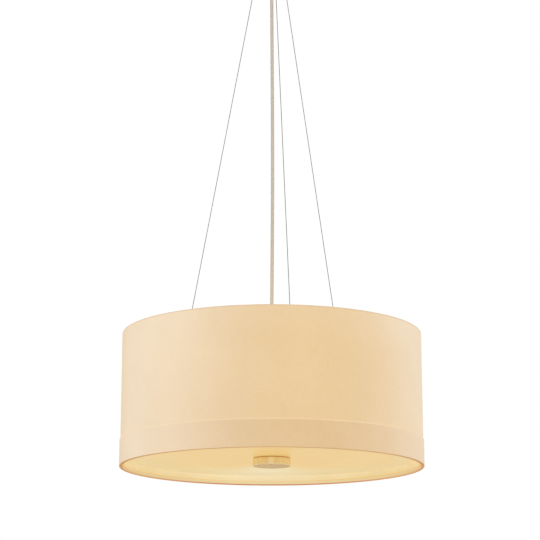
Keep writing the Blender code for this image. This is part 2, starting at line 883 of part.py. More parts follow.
def make_lamps():
    """Three lamp holders pointing outwards, each with a bulb that turns in it."""
    holder_bore = bulb_cap_radius + running_gap
    inner_end = holder_start + holder_back
    holder_profile = [
        (holder_radius, holder_end),
        (holder_radius, holder_start),
        (nipple_radius + gap, holder_start),
        (nipple_radius + gap, inner_end),
        (holder_bore, inner_end),
        (holder_bore, holder_end),
    ]
    cap_start = holder_end - bulb_cap_length
    collar = holder_end + gap
    neck = collar + bulb_neck_length
    base_profile = [
        (0, neck),
        (bulb_neck_radius, neck),
        (bulb_collar_radius, collar),
        (bulb_cap_radius, collar),
        (bulb_cap_radius, cap_start),
        (bulb_contact_radius, cap_start - bulb_contact_length),
        (0, cap_start - bulb_contact_length),
    ]
    mouth_radius = bulb_neck_radius - bulb_globe_wall
    outer_start = math.pi - math.asin(bulb_neck_radius / bulb_globe_radius)
    globe_inside = bulb_globe_radius - bulb_globe_wall
    inner_start = math.pi - math.asin(mouth_radius / globe_inside)
    globe_centre = neck + gap - bulb_globe_radius * math.cos(outer_start)
    shares = [step / bulb_globe_steps for step in range(bulb_globe_steps + 1)]
    outer = [
        (bulb_globe_radius * math.sin(outer_start * share),
         globe_centre + bulb_globe_radius * math.cos(outer_start * share))
        for share in shares
    ]
    inner = [
        (globe_inside * math.sin(inner_start * share), globe_centre + globe_inside * math.cos(inner_start * share))
        for share in reversed(shares)
    ]
    holders = []
    centre = Vector((0, 0, cluster_height_centre))
    for number, azimuth in enumerate(lamp_azimuths, 1):
        place = along(centre, radial(azimuth))
        holders.append(turned(f"lamp_holder_{number}", holder_profile, small_sides, "white_plastic", place))
        axis = pivot(f"bulb_{number}_axis", place)
        base = turned(f"bulb_base_{number}", base_profile, small_sides, "white_plastic", place, closed=False)
        globe = turned(f"bulb_globe_{number}", outer + inner, small_sides, "bulb_globe", place, closed=False)
        carry(axis, [base, globe])
    return holders


def make_disc_stop():
    """The washer and nut on the tube that the opal disc is drawn up against."""
    washer_bottom = disc_under + disc_thickness + gap
    washer_middle = upright(washer_bottom + disc_washer_thickness / 2)
    outlines = [circle(disc_washer_radius, small_sides), circle(tube_hole_radius, small_sides)]
    washer = plate("disc_washer", outlines, disc_washer_thickness, "zinc_steel", washer_middle)
    return [washer, nut("disc_nut", washer_bottom + disc_washer_thickness + gap)]


def make_disc_and_knob():
    """The opal disc, and the knob that carries it: one slides down the tube, the other turns."""
    edge_radius = ring_radius - ring_wire_radius - disc_ring_clearance
    hole_radius = tube_radius + running_gap
    disc_profile = [
        (edge_radius - disc_edge, disc_thickness),
        (edge_radius, disc_thickness - disc_edge),
        (edge_radius, disc_edge),
        (edge_radius - disc_edge, 0),
        (hole_radius, 0),
        (hole_radius, disc_thickness),
    ]
    disc = turned("opal_disc", disc_profile, shade_sides, "opal", upright(disc_under))
    knob_profile = [
        (tube_hole_radius, knob_height),
        (knob_radius - knob_edge, knob_height),
        (knob_radius, knob_height - knob_edge),
        (knob_radius, knob_edge),
        (knob_radius - knob_edge, 0),
        (0, 0),
    ]
    bore_floor = knob_height - knob_bore_depth
    knob_profile = [(0, bore_floor), (tube_hole_radius, bore_floor), *knob_profile]
    knob = turned("finial_knob", knob_profile, round_sides, "satin_metal", upright(knob_bottom), closed=False)
    return [disc, knob]


def build():
    """Make every piece, and hang what sways on the empty at the wires' crossing point."""
    make_bracket()
    make_canopy()
    make_canopy_screws()
    make_terminal_block()
    make_upper_grip()
    make_power_cord()
    make_gripper_seats()
    make_wires()
    crossing_rise = wire_pivot_radius * (pivot_height - foot_height) / (wire_foot_radius - wire_pivot_radius)
    sway = pivot("lamp_sway_pivot", upright(pivot_height + crossing_rise))
    swaying = [*make_shade(), *make_arm_plate(), *make_ring_clips(), *make_tube()]
    swaying += [*make_cluster(), *make_lamps(), *make_disc_stop(), *make_disc_and_knob()]
    carry(sway, swaying)
    carry(sway, [item for item in parts.objects if item.name.startswith("bulb_") and item.type == "EMPTY"])


build()
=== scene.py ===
"""Looks of the drum pendant light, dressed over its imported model.

Surfaces are worked out as whole arrays of points, one function for each kind of piece, and every
finish is a procedural material. The frame is the model's own: the ceiling is at height zero, +Z is
up, the lamp hangs below, its photographed side faces -Y, and all lengths are metres.
"""

import math

import bmesh
import bpy
import numpy as np
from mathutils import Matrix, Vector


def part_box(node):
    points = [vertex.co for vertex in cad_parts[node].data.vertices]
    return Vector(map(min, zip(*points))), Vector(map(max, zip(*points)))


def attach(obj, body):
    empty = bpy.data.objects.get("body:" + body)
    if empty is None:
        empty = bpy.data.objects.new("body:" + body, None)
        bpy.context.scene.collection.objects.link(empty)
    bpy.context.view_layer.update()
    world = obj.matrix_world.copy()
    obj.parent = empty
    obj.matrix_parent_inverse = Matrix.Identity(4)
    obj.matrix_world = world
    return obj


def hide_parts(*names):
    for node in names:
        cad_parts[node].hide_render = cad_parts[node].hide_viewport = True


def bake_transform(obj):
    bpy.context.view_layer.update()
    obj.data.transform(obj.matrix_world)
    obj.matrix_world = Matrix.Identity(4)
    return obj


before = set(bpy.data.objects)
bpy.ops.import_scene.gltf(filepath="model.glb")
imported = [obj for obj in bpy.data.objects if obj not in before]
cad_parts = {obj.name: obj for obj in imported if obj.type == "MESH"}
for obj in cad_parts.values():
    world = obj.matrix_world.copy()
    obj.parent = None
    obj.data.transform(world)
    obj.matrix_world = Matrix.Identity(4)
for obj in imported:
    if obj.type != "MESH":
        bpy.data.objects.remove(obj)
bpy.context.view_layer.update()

# The photograph's camera, from a fit to the drum's two rims, its sides and its band
photo_width = 540
focal_pixels = 1751
sensor_width = 36
camera_place = (-0.00297, -2.885, -1.2522)
camera_pitch_deg = 13.68

# Power cord: its route from the terminal block to the middle of the lamp, as the model has it
cord_route = [
    (0.0000, 0.0000, -0.0160),
    (0.0000, 0.0000, -0.0440),
    (0.0003, 0.0001, -0.1000),
    (0.0009, 0.0003, -0.1900),
    (0.0013, 0.0004, -0.2900),
    (0.0014, 0.0003, -0.3900),
    (0.0010, 0.0001, -0.4900),
    (0.0003, 0.0000, -0.5800),
    (0.0000, 0.0000, -0.6350),
    (0.0000, 0.0000, -0.6700),
    (0.0000, 0.0000, -0.7500),
]
cord_radius = 0.003
cord_row_spacing = 0.0006
rows_per_cord_point = 20
cord_columns = 48
braid_strands = 8
braid_slope = braid_strands / cord_radius
braid_depth = 0.00016
yarns_per_strand = 5

# Directions of the wires, and of the lamps midway between them
arm_count = 3
first_wire_azimuth = math.radians(41)
wire_azimuths = [first_wire_azimuth + arm * math.tau / arm_count for arm in range(arm_count)]
lamp_azimuths = [azimuth + math.pi / arm_count for azimuth in wire_azimuths]

# Small lengths that several pieces share, how many sides the shade's round pieces have, and the
# angles from which a corner stays sharp or is eased
gap = 0.0003
hair = 0.00005
zinc_sheet = 0.002
tube_hole_radius = 0.0068
shade_sides = 360
sharp_corner_deg = 38
eased_corner_deg = 40


def low_of(node):
    """The height of a node's lowest point."""
    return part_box(node)[0].z


def high_of(node):
    """The height of a node's highest point."""
    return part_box(node)[1].z


def reach_of(node):
    """How far a node goes along +X."""
    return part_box(node)[1].x


def middle_of(node):
    """The height of a node's middle."""
    return (low_of(node) + high_of(node)) / 2


# Shade: fabric laminated to a film, a band round its foot, and two wire rings
shade_radius = reach_of("shade_fabric")
shade_bottom = low_of("shade_fabric")
shade_height = high_of("shade_fabric") - shade_bottom
cloth_wall = 0.00045
shade_wall = 0.0012
band_radius = reach_of("lower_band")
band_top = high_of("lower_band")
ring_wire = 0.0025
ring_radius = reach_of("shade_top_ring") - ring_wire
lap_width = 0.012

# Canopy and what is in it
canopy_radius = reach_of("canopy_cup")
canopy_under = low_of("canopy_cup")
canopy_wall = 0.001
plate_top = canopy_under + canopy_wall
cord_bore_radius = cord_radius + gap

# Wires: a ball pivot in the canopy, a ball stop under the arm
wire_radius = 0.0006
wire_bore_radius = wire_radius + gap
wire_pivot_radius = 0.030
wire_pivot_rise = 0.0075
wire_foot_inset = 0.092
wire_foot_drop = 0.003822
pivot_height = canopy_under + wire_pivot_rise
wire_foot_radius = shade_radius - wire_foot_inset
foot_height = low_of("arm_plate") - wire_foot_drop

# Fasteners and clips
canopy_screw_radius = 0.002
canopy_screw_drop = 0.009
swivel_hole = 0.0049
clip_screw_radius = 0.0015
clip_wall = 0.001
clip_foot = 0.013
clip_wrap = ring_wire + gap + clip_wall / 2
clip_screw_reach = ring_radius - clip_wrap - clip_foot / 2

# Lamps
lamp_height = middle_of("lamp_holder_1")
cluster_radius = reach_of("cluster_cover")
holder_length = 0.052
neck_length = 0.024
holder_start = cluster_radius + gap
holder_end = holder_start + holder_length
neck_end = holder_end + gap + neck_length
bulb_strength = 0.9

# Where painted light shows most: a painted highlight on the disc and the wall below it, the lamps' glow on
# the cloth, and painted light from the room on the cloth's left side
spot_azimuth = math.radians(92)
cloth_azimuth = math.radians(104.5)
left_light_azimuth = math.radians(185)

# Knob
knob_low = low_of("finial_knob")
knob_high = high_of("finial_knob")
knob_radius = reach_of("finial_knob")


# Meshes from arrays of points


def placed(name, data):
    """A new object of a mesh, curve, light or camera, in the scene."""
    made = bpy.data.objects.new(name, data)
    bpy.context.scene.collection.objects.link(made)
    return made


def stand(points, origin=(0, 0, 0), axis=(0, 0, 1)):
    """Turn points so that their own +Z lies along an axis, and move their zero to the origin given."""
    axis = np.array(axis, float) / np.linalg.norm(axis)
    helper = (0, 1, 0) if abs(axis[2]) > 0.5 else (0, 0, 1)
    side = np.cross(helper, axis)
    side /= np.linalg.norm(side)
    basis = np.array([side, np.cross(axis, side), axis])
    return points @ basis + np.array(origin, float)


def grid_faces(rows, columns, row_count, across, along):
    """Quads between a grid's neighbouring rows and columns, and the UV of each quad's corners.

    The last column joins the first, and so does the last row where every row has its own quads.
    """
    row, column = np.meshgrid(np.arange(row_count), np.arange(columns), indexing="ij")
    corners = [(row, column), (row, column + 1), (row + 1, column + 1), (row + 1, column)]
    quads = [up % rows * columns + turn % columns for up, turn in corners]
    uv = [np.stack([across[turn], along[up]], -1) for up, turn in corners]
    return np.stack(quads, -1).reshape(-1, 4), np.stack(uv, -2).reshape(-1, 4, 2)


def pole_faces(rows, columns, across, along):
    """Triangles from the poles, the two points after the grid's own, to its first and last row."""
    turn = np.arange(columns)
    after = (turn + 1) % columns
    left, right = across[:-1], across[1:]
    pole = rows * columns
    last = pole - columns
    fans = [
        (pole, after, turn, along[0], right, left),
        (pole + 1, last + turn, last + after, along[rows - 1], left, right),
    ]
    faces, uv = [], []
    for point, second, third, level, second_across, third_across in fans:
        faces.append(np.stack([np.full(columns, point), second, third], -1))
        corners = ((left + right) / 2, second_across, third_across)
        uv.append(np.stack([np.stack([place, np.full(columns, level)], -1) for place in corners], 1))
    return np.concatenate(faces), np.concatenate(uv)


def surface(name, grid, finish, ends=None, round_length=1.0, along=None, sharp_deg=sharp_corner_deg):
    """A closed mesh of quads over a grid of points, with columns that run round and join up.

    With no ends the rows join up too, as on a ring. Otherwise the two end points close the first
    and last row with a fan of triangles. The UV map holds real lengths: across is the share of the
    way round times round_length, and up is the row's own length along the piece. A shell whose
    volume, the sum of its corners' triple products, comes out negative is turned inside out.
    """
    rows, columns = grid.shape[:2]
    if along is None:
        steps = np.linalg.norm(np.diff(grid, axis=0, append=grid[:1]), axis=2).mean(1)
        along = np.concatenate([[0], np.cumsum(steps)])
    across = np.arange(columns + 1) / columns * round_length
    points = grid.reshape(-1, 3)
    if ends is None:
        quads, quad_uv = grid_faces(rows, columns, rows, across, along)
        fans, fan_uv = np.zeros((0, 3), int), np.zeros((0, 3, 2))
    else:
        quads, quad_uv = grid_faces(rows, columns, rows - 1, across, along)
        fans, fan_uv = pole_faces(rows, columns, across, along)
        points = np.concatenate([points, np.array(ends, float).reshape(2, 3)])
    corners = points[np.concatenate([quads[:, [0, 1, 2]], quads[:, [0, 2, 3]], fans])]
    if np.einsum("ij,ij->", corners[:, 0], np.cross(corners[:, 1], corners[:, 2])) < 0:
        quads, quad_uv = quads[:, ::-1], quad_uv[:, ::-1]
        fans, fan_uv = fans[:, ::-1], fan_uv[:, ::-1]
    order = np.concatenate([quads.ravel(), fans.ravel()])
    uv = np.concatenate([quad_uv.ravel(), fan_uv.ravel()])
    starts = np.concatenate([np.arange(len(quads)) * 4, quads.size + np.arange(len(fans)) * 3])
    mesh = bpy.data.meshes.new(name)
    mesh.vertices.add(len(points))
    mesh.vertices.foreach_set("co", points.astype(np.float32).ravel())
    mesh.loops.add(len(order))
    mesh.loops.foreach_set("vertex_index", order.astype(np.int32))
    mesh.polygons.add(len(starts))
    mesh.polygons.foreach_set("loop_start", starts.astype(np.int32))
    mesh.polygons.foreach_set("use_smooth", np.ones(len(starts), bool))
    mesh.uv_layers.new(name="UVMap").data.foreach_set("uv", uv.astype(np.float32))
    mesh.update(calc_edges=True)
    mesh.validate()
    mesh.set_sharp_from_angle(angle=math.radians(sharp_deg))
    mesh.materials.append(finish)
    return placed(name, mesh)


def eased(points, radii, closed=True, steps=4):
    """Round an outline's corners: each gives way to the arc that touches both of its sides.

    The arc is the conic from one touching point to the other with the corner as its control and the
    sine of half the corner's angle as its weight, which is an exact circle. It is cut down where
    two arcs would take more than their side's length.
    """
    most_of_side, least = 0.48, 1e-7
    points = np.array(points, float)
    radii = np.broadcast_to(np.array(radii, float), len(points)).copy()
    if not closed:
        radii[[0, -1]] = 0
    back, ahead = np.roll(points, 1, 0) - points, np.roll(points, -1, 0) - points
    back_run, ahead_run = np.linalg.norm(back, axis=1), np.linalg.norm(ahead, axis=1)
    back, ahead = back / back_run[:, None], ahead / ahead_run[:, None]
    half = np.arccos(np.clip((back * ahead).sum(1), -1, 1)) / 2
    reach = radii / np.maximum(np.tan(half), 10 * least)
    reach = np.minimum(reach, most_of_side * np.minimum(back_run, ahead_run))[:, None, None]
    weight = np.sin(half)[:, None, None]
    share = np.linspace(0, 1, steps + 1)[None, :, None]
    start, end = points[:, None] + back[:, None] * reach, points[:, None] + ahead[:, None] * reach
    first, mid, last = (1 - share) ** 2, 2 * share * (1 - share) * weight, share ** 2
    arcs = (first * start + mid * points[:, None] + last * end) / (first + mid + last)
    line = arcs.reshape(-1, points.shape[1])
    line = line[np.linalg.norm(np.diff(line, axis=0, prepend=line[:1] - 1), axis=1) > least]
    if closed and np.linalg.norm(line[0] - line[-1]) < least:
        line = line[:-1]
    return line


def turned(name, profile, finish, origin=(0, 0, 0), axis=(0, 0, 1), sides=96, swell=None):
    """A profile of (radius, height) turned about an axis: x = r cos t, y = r sin t, z = height.

    A profile that starts and ends on the axis closes in two poles, and any other is a ring. swell
    changes the radii over the whole grid, from the turn, the height and the radius.
    """
    on_axis = 1e-7
    profile = np.array(profile, float)
    ends = None
    if profile[0, 0] < on_axis:
        ends = stand(np.array([[0, 0, profile[0, 1]], [0, 0, profile[-1, 1]]]), origin, axis)
        profile = profile[1:-1]
    turn = math.tau * np.arange(sides)[None, :] / sides
    height = np.repeat(profile[:, 1:2], sides, 1)
    radius = np.repeat(profile[:, 0:1], sides, 1)
    if swell is not None:
        radius = swell(turn, height, radius)
    grid = np.stack([radius * np.cos(turn), radius * np.sin(turn), height], -1)
    return surface(name, stand(grid, origin, axis), finish, ends, math.tau * profile[:, 0].max())


def carried(section, path, across):
    """Points of a section carried along a path, square to it.

    At each point of the path the section's first axis is across, less its share along the path, and
    its second is square to that and the path.
    """
    ahead = np.gradient(path, axis=0)
    ahead /= np.linalg.norm(ahead, axis=1, keepdims=True)
    side = across - (ahead @ np.array(across, float))[:, None] * ahead
    side /= np.linalg.norm(side, axis=1, keepdims=True)
    other = np.cross(ahead, side)
    return path[:, None] + section[..., 0:1] * side[:, None] + section[..., 1:2] * other[:, None]


def rectangle(width, height):
    """The four corners of a rectangle about zero, anticlockwise."""
    x, y = width / 2, height / 2
    return [(-x, -y), (x, -y), (x, y), (-x, y)]


def strap(name, path, width, thickness, finish, across):
    """A flat strip with eased edges carried along a path, its width along across."""
    edge = thickness * 0.3
    section = eased(rectangle(width, thickness), edge, steps=3)
    return surface(name, carried(section, path, across), finish, [path[0], path[-1]], 2 * width)


def hexagon(corner_radius):
    """Radii cut to a hexagon's flats: no more than the flat's radius over the cosine of the turn from
    the flat's middle.
    """
    flat = corner_radius * math.cos(math.pi / 6)

    def swell(turn, height, radius):
        return np.minimum(radius, flat / np.cos((turn + math.pi / 6) % (math.pi / 3) - math.pi / 6))

    return swell


def thread(pitch, depth, low=-math.inf, high=math.inf, least_radius=0.0):
    """A screw thread on the radii over a least one, between two heights.

    It takes off the depth times a cosine wave of the height over the pitch less the turn.
    """

    def swell(turn, height, radius):
        cut = (radius > least_radius) & (height > low) & (height < high)
        wave = 0.5 + 0.5 * np.cos(math.tau * height / pitch - turn)
        return np.where(cut, radius - depth * wave, radius)

    return swell


def flutes(count, depth, low=-math.inf, high=math.inf, least_radius=0.0):
    """Grooves along a piece: the radii lose the depth times a cosine wave of the turn."""

    def swell(turn, height, radius):
        grooved = (radius > least_radius) & (height > low) & (height < high)
        return np.where(grooved, radius - depth * (0.5 + 0.5 * np.cos(count * turn)), radius)

    return swell


def groove(radius, height, width, depth):
    """The four points of a groove in a profile's outer side, on the way down."""
    half = width / 2
    floor = radius - depth
    return [
        (radius, height + half), (floor, height + half - depth), (floor, height - half + depth),
        (radius, height - half),
    ]


def rows(profile, spacing):
    """A profile with its long sides cut into steps no longer than a spacing."""
    profile = np.array(profile, float)
    parts = []
    for start, end in zip(profile, np.roll(profile, -1, 0)):
        count = max(1, round(np.linalg.norm(end - start) / spacing))
        parts.append(start + (end - start) * (np.arange(count) / count)[:, None])
    return np.concatenate(parts)


def open_rows(profile, spacing):
    """Steps along a profile from the axis back to it, without the side that would close it."""
    return rows(profile, spacing)[:-1]


def evaluated_mesh(piece):
    """A new mesh of a piece as its modifiers leave it, or of a curve as it is filled."""
    bpy.context.view_layer.update()
    depsgraph = bpy.context.evaluated_depsgraph_get()
    return bpy.data.meshes.new_from_object(piece.evaluated_get(depsgraph))


def bored(piece, cutters, edge=0.0):
    """Take other pieces out of one, and ease the edges that are left."""
    for number, cutter in enumerate(cutters):
        removal = piece.modifiers.new(f"Bore{number}", "BOOLEAN")
        removal.object = cutter
        removal.operation = "DIFFERENCE"
        removal.solver = "EXACT"
    if edge:
        rounding = piece.modifiers.new("Edges", "BEVEL")
        rounding.limit_method = "ANGLE"
        rounding.angle_limit = math.radians(eased_corner_deg)
        rounding.width = edge
        rounding.segments = 2
    mesh = evaluated_mesh(piece)
    piece.modifiers.clear()
    old = piece.data
    piece.data = mesh
    bpy.data.meshes.remove(old)
    mesh.name = piece.name
    mesh.polygons.foreach_set("use_smooth", np.ones(len(mesh.polygons), bool))
    mesh.set_sharp_from_angle(angle=math.radians(sharp_corner_deg))
    for cutter in cutters:
        bpy.data.objects.remove(cutter, do_unlink=True)
    return piece


def drill(radius, depth, place, axis, sides=32):
    """A cutter for a round hole: it goes in from a point on the surface, against the axis.

    Its mouth widens, so that the hole's edge is eased.
    """
    flare = 0.0002
    profile = [(0, flare), (radius + 2 * flare, flare), (radius, -flare), (radius, -depth), (0, -depth)]
    return turned("drill", profile, None, place, axis, sides)


def bar(size, place):
    """A plain square-edged cutter, centred on a point."""
    length, width, height = size
    corners = np.array(rectangle(length, width))
    levels = (-height / 2, height / 2)
    grid = np.stack([np.concatenate([corners, np.full((4, 1), level)], 1) for level in levels])
    ends = np.array([(0, 0, level) for level in levels])
    return surface("bar", grid + np.array(place), None, ends + np.array(place))


def flat_plate(name, outlines, thickness, level, finish, edge):
    """A flat sheet cut to an outline, with the holes that the other outlines make, and eased edges."""
    curve = bpy.data.curves.new(name + "_outline", "CURVE")
    curve.dimensions = "2D"
    curve.fill_mode = "BOTH"
    curve.extrude = thickness / 2
    for outline in outlines:
        spline = curve.splines.new("POLY")
        spline.points.add(len(outline) - 1)
        filled = np.concatenate([outline, np.zeros((len(outline), 1)), np.ones((len(outline), 1))], 1)
        spline.points.foreach_set("co", filled.ravel())
        spline.use_cyclic_u = True
    drawing = placed(name + "_outline", curve)
    mesh = evaluated_mesh(drawing)
    bpy.data.objects.remove(drawing, do_unlink=True)
    sheet = bmesh.new()
    sheet.from_mesh(mesh)
    bmesh.ops.remove_doubles(sheet, verts=sheet.verts, dist=hair / 5)
    bmesh.ops.translate(sheet, verts=sheet.verts, vec=(0, 0, level))
    bmesh.ops.dissolve_limit(sheet, angle_limit=math.radians(1), verts=sheet.verts, edges=sheet.edges)
    bmesh.ops.recalc_face_normals(sheet, faces=sheet.faces)
    sheet.to_mesh(mesh)
    sheet.free()
    mesh.name = name
    mesh.materials.clear()
    mesh.materials.append(finish)
    return bored(placed(name, mesh), [], edge)


def circle(radius, centre=(0, 0), sides=48):
    """Points of a circle."""
    turn = math.tau * np.arange(sides) / sides
    return np.stack([centre[0] + radius * np.cos(turn), centre[1] + radius * np.sin(turn)], -1)


def arc(centre, radius, start_deg, end_deg, steps):
    """Points of an arc from one angle to another."""
    turn = np.radians(np.linspace(start_deg, end_deg, steps + 1))
    return np.stack([centre[0] + radius * np.cos(turn), centre[1] + radius * np.sin(turn)], -1)


def out(azimuth):
    """The level direction at an azimuth."""
    return np.array([math.cos(azimuth), math.sin(azimuth), 0])


def fit(piece, body, slot, *nodes):
    """Let a piece ride on its body and stand for the nodes named, which it hides. Its slot is not used."""
    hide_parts(*nodes)
    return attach(piece, body)


# Shader maths


class Signal:
    """A shader socket: each operator used on it adds the Math node that it stands for."""

    def __init__(self, nodes, socket):
        self.nodes = nodes
        self.socket = socket

    def __add__(self, other):
        return self.nodes.maths("ADD", self, other)

    def __sub__(self, other):
        return self.nodes.maths("SUBTRACT", self, other)

    def __rsub__(self, other):
        return self.nodes.maths("SUBTRACT", other, self)

    def __mul__(self, other):
        return self.nodes.maths("MULTIPLY", self, other)

    def __truediv__(self, other):
        return self.nodes.maths("DIVIDE", self, other)

    def __pow__(self, other):
        return self.nodes.maths("POWER", self, other)

    __radd__ = __add__
    __rmul__ = __mul__


class Nodes:
    """The nodes of one material or world, made one at a time by a single method."""

    def __init__(self, tree):
        self.tree = tree

    def node(self, kind, settings=None, inputs=None, output=0):
        """Add a node, make its settings, set or link its sockets, and give back one output."""
        made = self.tree.nodes.new(kind)
        for name, value in (settings or {}).items():
            setattr(made, name, value)
        for name, value in (inputs or {}).items():
            self.feed(made.inputs[name], value)
        return Signal(self, made.outputs[output])

    def feed(self, socket, value):
        """Link a socket to a signal, or set it to a plain value."""
        if isinstance(value, Signal):
            self.tree.links.new(value.socket, socket)
        else:
            socket.default_value = value

    def maths(self, operation, *values):
        """A Math node on one, two or three values."""
        return self.node("ShaderNodeMath", {"operation": operation}, dict(enumerate(values)))

    def share(self, value, low, high):
        """How far a value has come from low to high, from 0 to 1, easing in and out."""
        settings = {"interpolation_type": "SMOOTHSTEP"}
        return self.node("ShaderNodeMapRange", settings, {0: value, 1: low, 2: high})

    def mix(self, share, first, second):
        """A colour part of the way from the first to the second."""
        return self.node("ShaderNodeMix", {"data_type": "RGBA"}, {0: share, 6: first, 7: second}, 2)

    def place(self):
        """The point's place on the piece, in the lamp's own frame."""
        return self.node("ShaderNodeTexCoord", output="Object")

    def lengths(self):
        """The piece's own lengths, round it and along it."""
        return self.node("ShaderNodeTexCoord", output="UV")

    def split(self, vector):
        """A vector's three parts."""
        first = self.node("ShaderNodeSeparateXYZ", inputs={0: vector})
        return [Signal(self, part) for part in first.socket.node.outputs]

    def radius(self, x, y):
        """How far a place is from the lamp's axis: the root of x squared and y squared."""
        return self.maths("SQRT", x * x + y * y)

    def azimuth(self, x, y):
        """The direction of a place from the lamp's axis."""
        return self.maths("ARCTAN2", y, x)

    def noise(self, vector, scale, stretch=None, detail=3.0):
        """Cloudy noise about 0.5, on a vector that may be stretched first."""
        if stretch is not None:
            vector = self.node("ShaderNodeMapping", inputs={"Vector": vector, "Scale": stretch})
        inputs = {"Vector": vector, "Scale": scale, "Detail": detail, "Roughness": 0.55}
        return self.node("ShaderNodeTexNoise", inputs=inputs)

    def mottled(self, cloud, first, second):
        """A colour that goes from one tint to another with the middle part of a noise."""
        return self.mix(self.share(cloud, 0.3, 0.7), first, second)

    def bump(self, height, distance, strength):
        """A Bump node's normal for a height."""
        inputs = {"Height": height, "Distance": distance, "Strength": strength}
        return self.node("ShaderNodeBump", inputs=inputs)


class Finish(Nodes):
    """A material: its Principled shader, and the nodes that feed it."""

    def __init__(self, name, **values):
        self.material = bpy.data.materials.new(name)
        self.material.use_nodes = True
        super().__init__(self.material.node_tree)
        self.shader = self.tree.nodes["Principled BSDF"]
        self.set(**values)

    def set(self, **values):
        """Set or link the shader's sockets, named with underscores for spaces."""
        for name, value in values.items():
            self.feed(self.shader.inputs[name.replace("_", " ")], value)


def tint(red, green, blue):
    """A colour from its screen values of 0 to 255, as the shader's linear light."""
    screen = np.array([red, green, blue]) / 255
    linear = np.where(screen <= 0.04045, screen / 12.92, ((screen + 0.055) / 1.055) ** 2.4)
    return (*(float(part) for part in linear), 1.0)


dark = tint(0, 0, 0)


def wave(nodes, azimuth, first, count):
    """A wave round the lamp: 1 at an azimuth and at each even step from it, 0 midway between."""
    return nodes.maths("COSINE", (azimuth - first) * count) * 0.5 + 0.5


def by_lamps(nodes, azimuth):
    """1 in the direction of each of the three lamps, 0 midway between them."""
    return wave(nodes, azimuth, lamp_azimuths[0], arm_count)


def glow_spot(nodes, azimuth, narrowness):
    """The far side, where light is painted: highlights and reflections on the disc and the wall beside it,
    glow and shade on the shade's foot. It is 1 at its azimuth.
    """
    return wave(nodes, azimuth, spot_azimuth, 1) ** narrowness


def weave(nodes, pitch):
    """Height of a plain weave, and the slubs in its yarn.

    Where a warp and a weft thread cross, each is on top by turns: a cell's height is the sine across
    the thread that is on top, and the signs of the two sines say which that is.
    """
    slub_length, slub_width = 60, 2200
    vector = nodes.lengths()
    round_it, up, _ = nodes.split(vector)
    warp = nodes.maths("SINE", round_it * (math.pi / pitch))
    weft = nodes.maths("SINE", up * (math.pi / pitch))
    over = nodes.maths("SIGN", warp * weft) * 0.5 + 0.5
    height = nodes.maths("ABSOLUTE", warp) * over + nodes.maths("ABSOLUTE", weft) * (1 - over)
    slub_up = nodes.noise(vector, scale=1, stretch=(slub_width, slub_length, 1), detail=1.0)
    slub_round = nodes.noise(vector, scale=1, stretch=(slub_length, slub_width, 1), detail=1.0)
    return height, (slub_up + slub_round) * 0.5


# Finishes


def cloth_glow(finish, azimuth, z, dim_glow, bright_glow):
    """The lamps' light through the fabric, from a level that goes from dim to bright.

    The level is a wave round the drum to a power, times a share that grows upwards and more so on
    the right side, with a pale top added and a pale left side, which is painted light from the room.
    """
    narrowness, foot_share, rise_share, right_share = 1.35, 0.77, 0.27, 0.15
    left_light_share, top_share = 0.48, 0.12
    rise = (z - shade_bottom) / shade_height
    right = finish.maths("COSINE", azimuth)
    # painted light from the room: the drum's left side is made paler
    left = finish.share(finish.maths("COSINE", azimuth - left_light_azimuth), 0.743, 0.99) * left_light_share
    top = finish.share(rise, 0.72, 1.0) * (top_share + right * top_share)
    stripes = wave(finish, azimuth, cloth_azimuth, arm_count) ** narrowness
    level = stripes * (foot_share + rise * (rise_share + right * right_share)) + left + top
    return finish.mix(level, dim_glow, bright_glow)


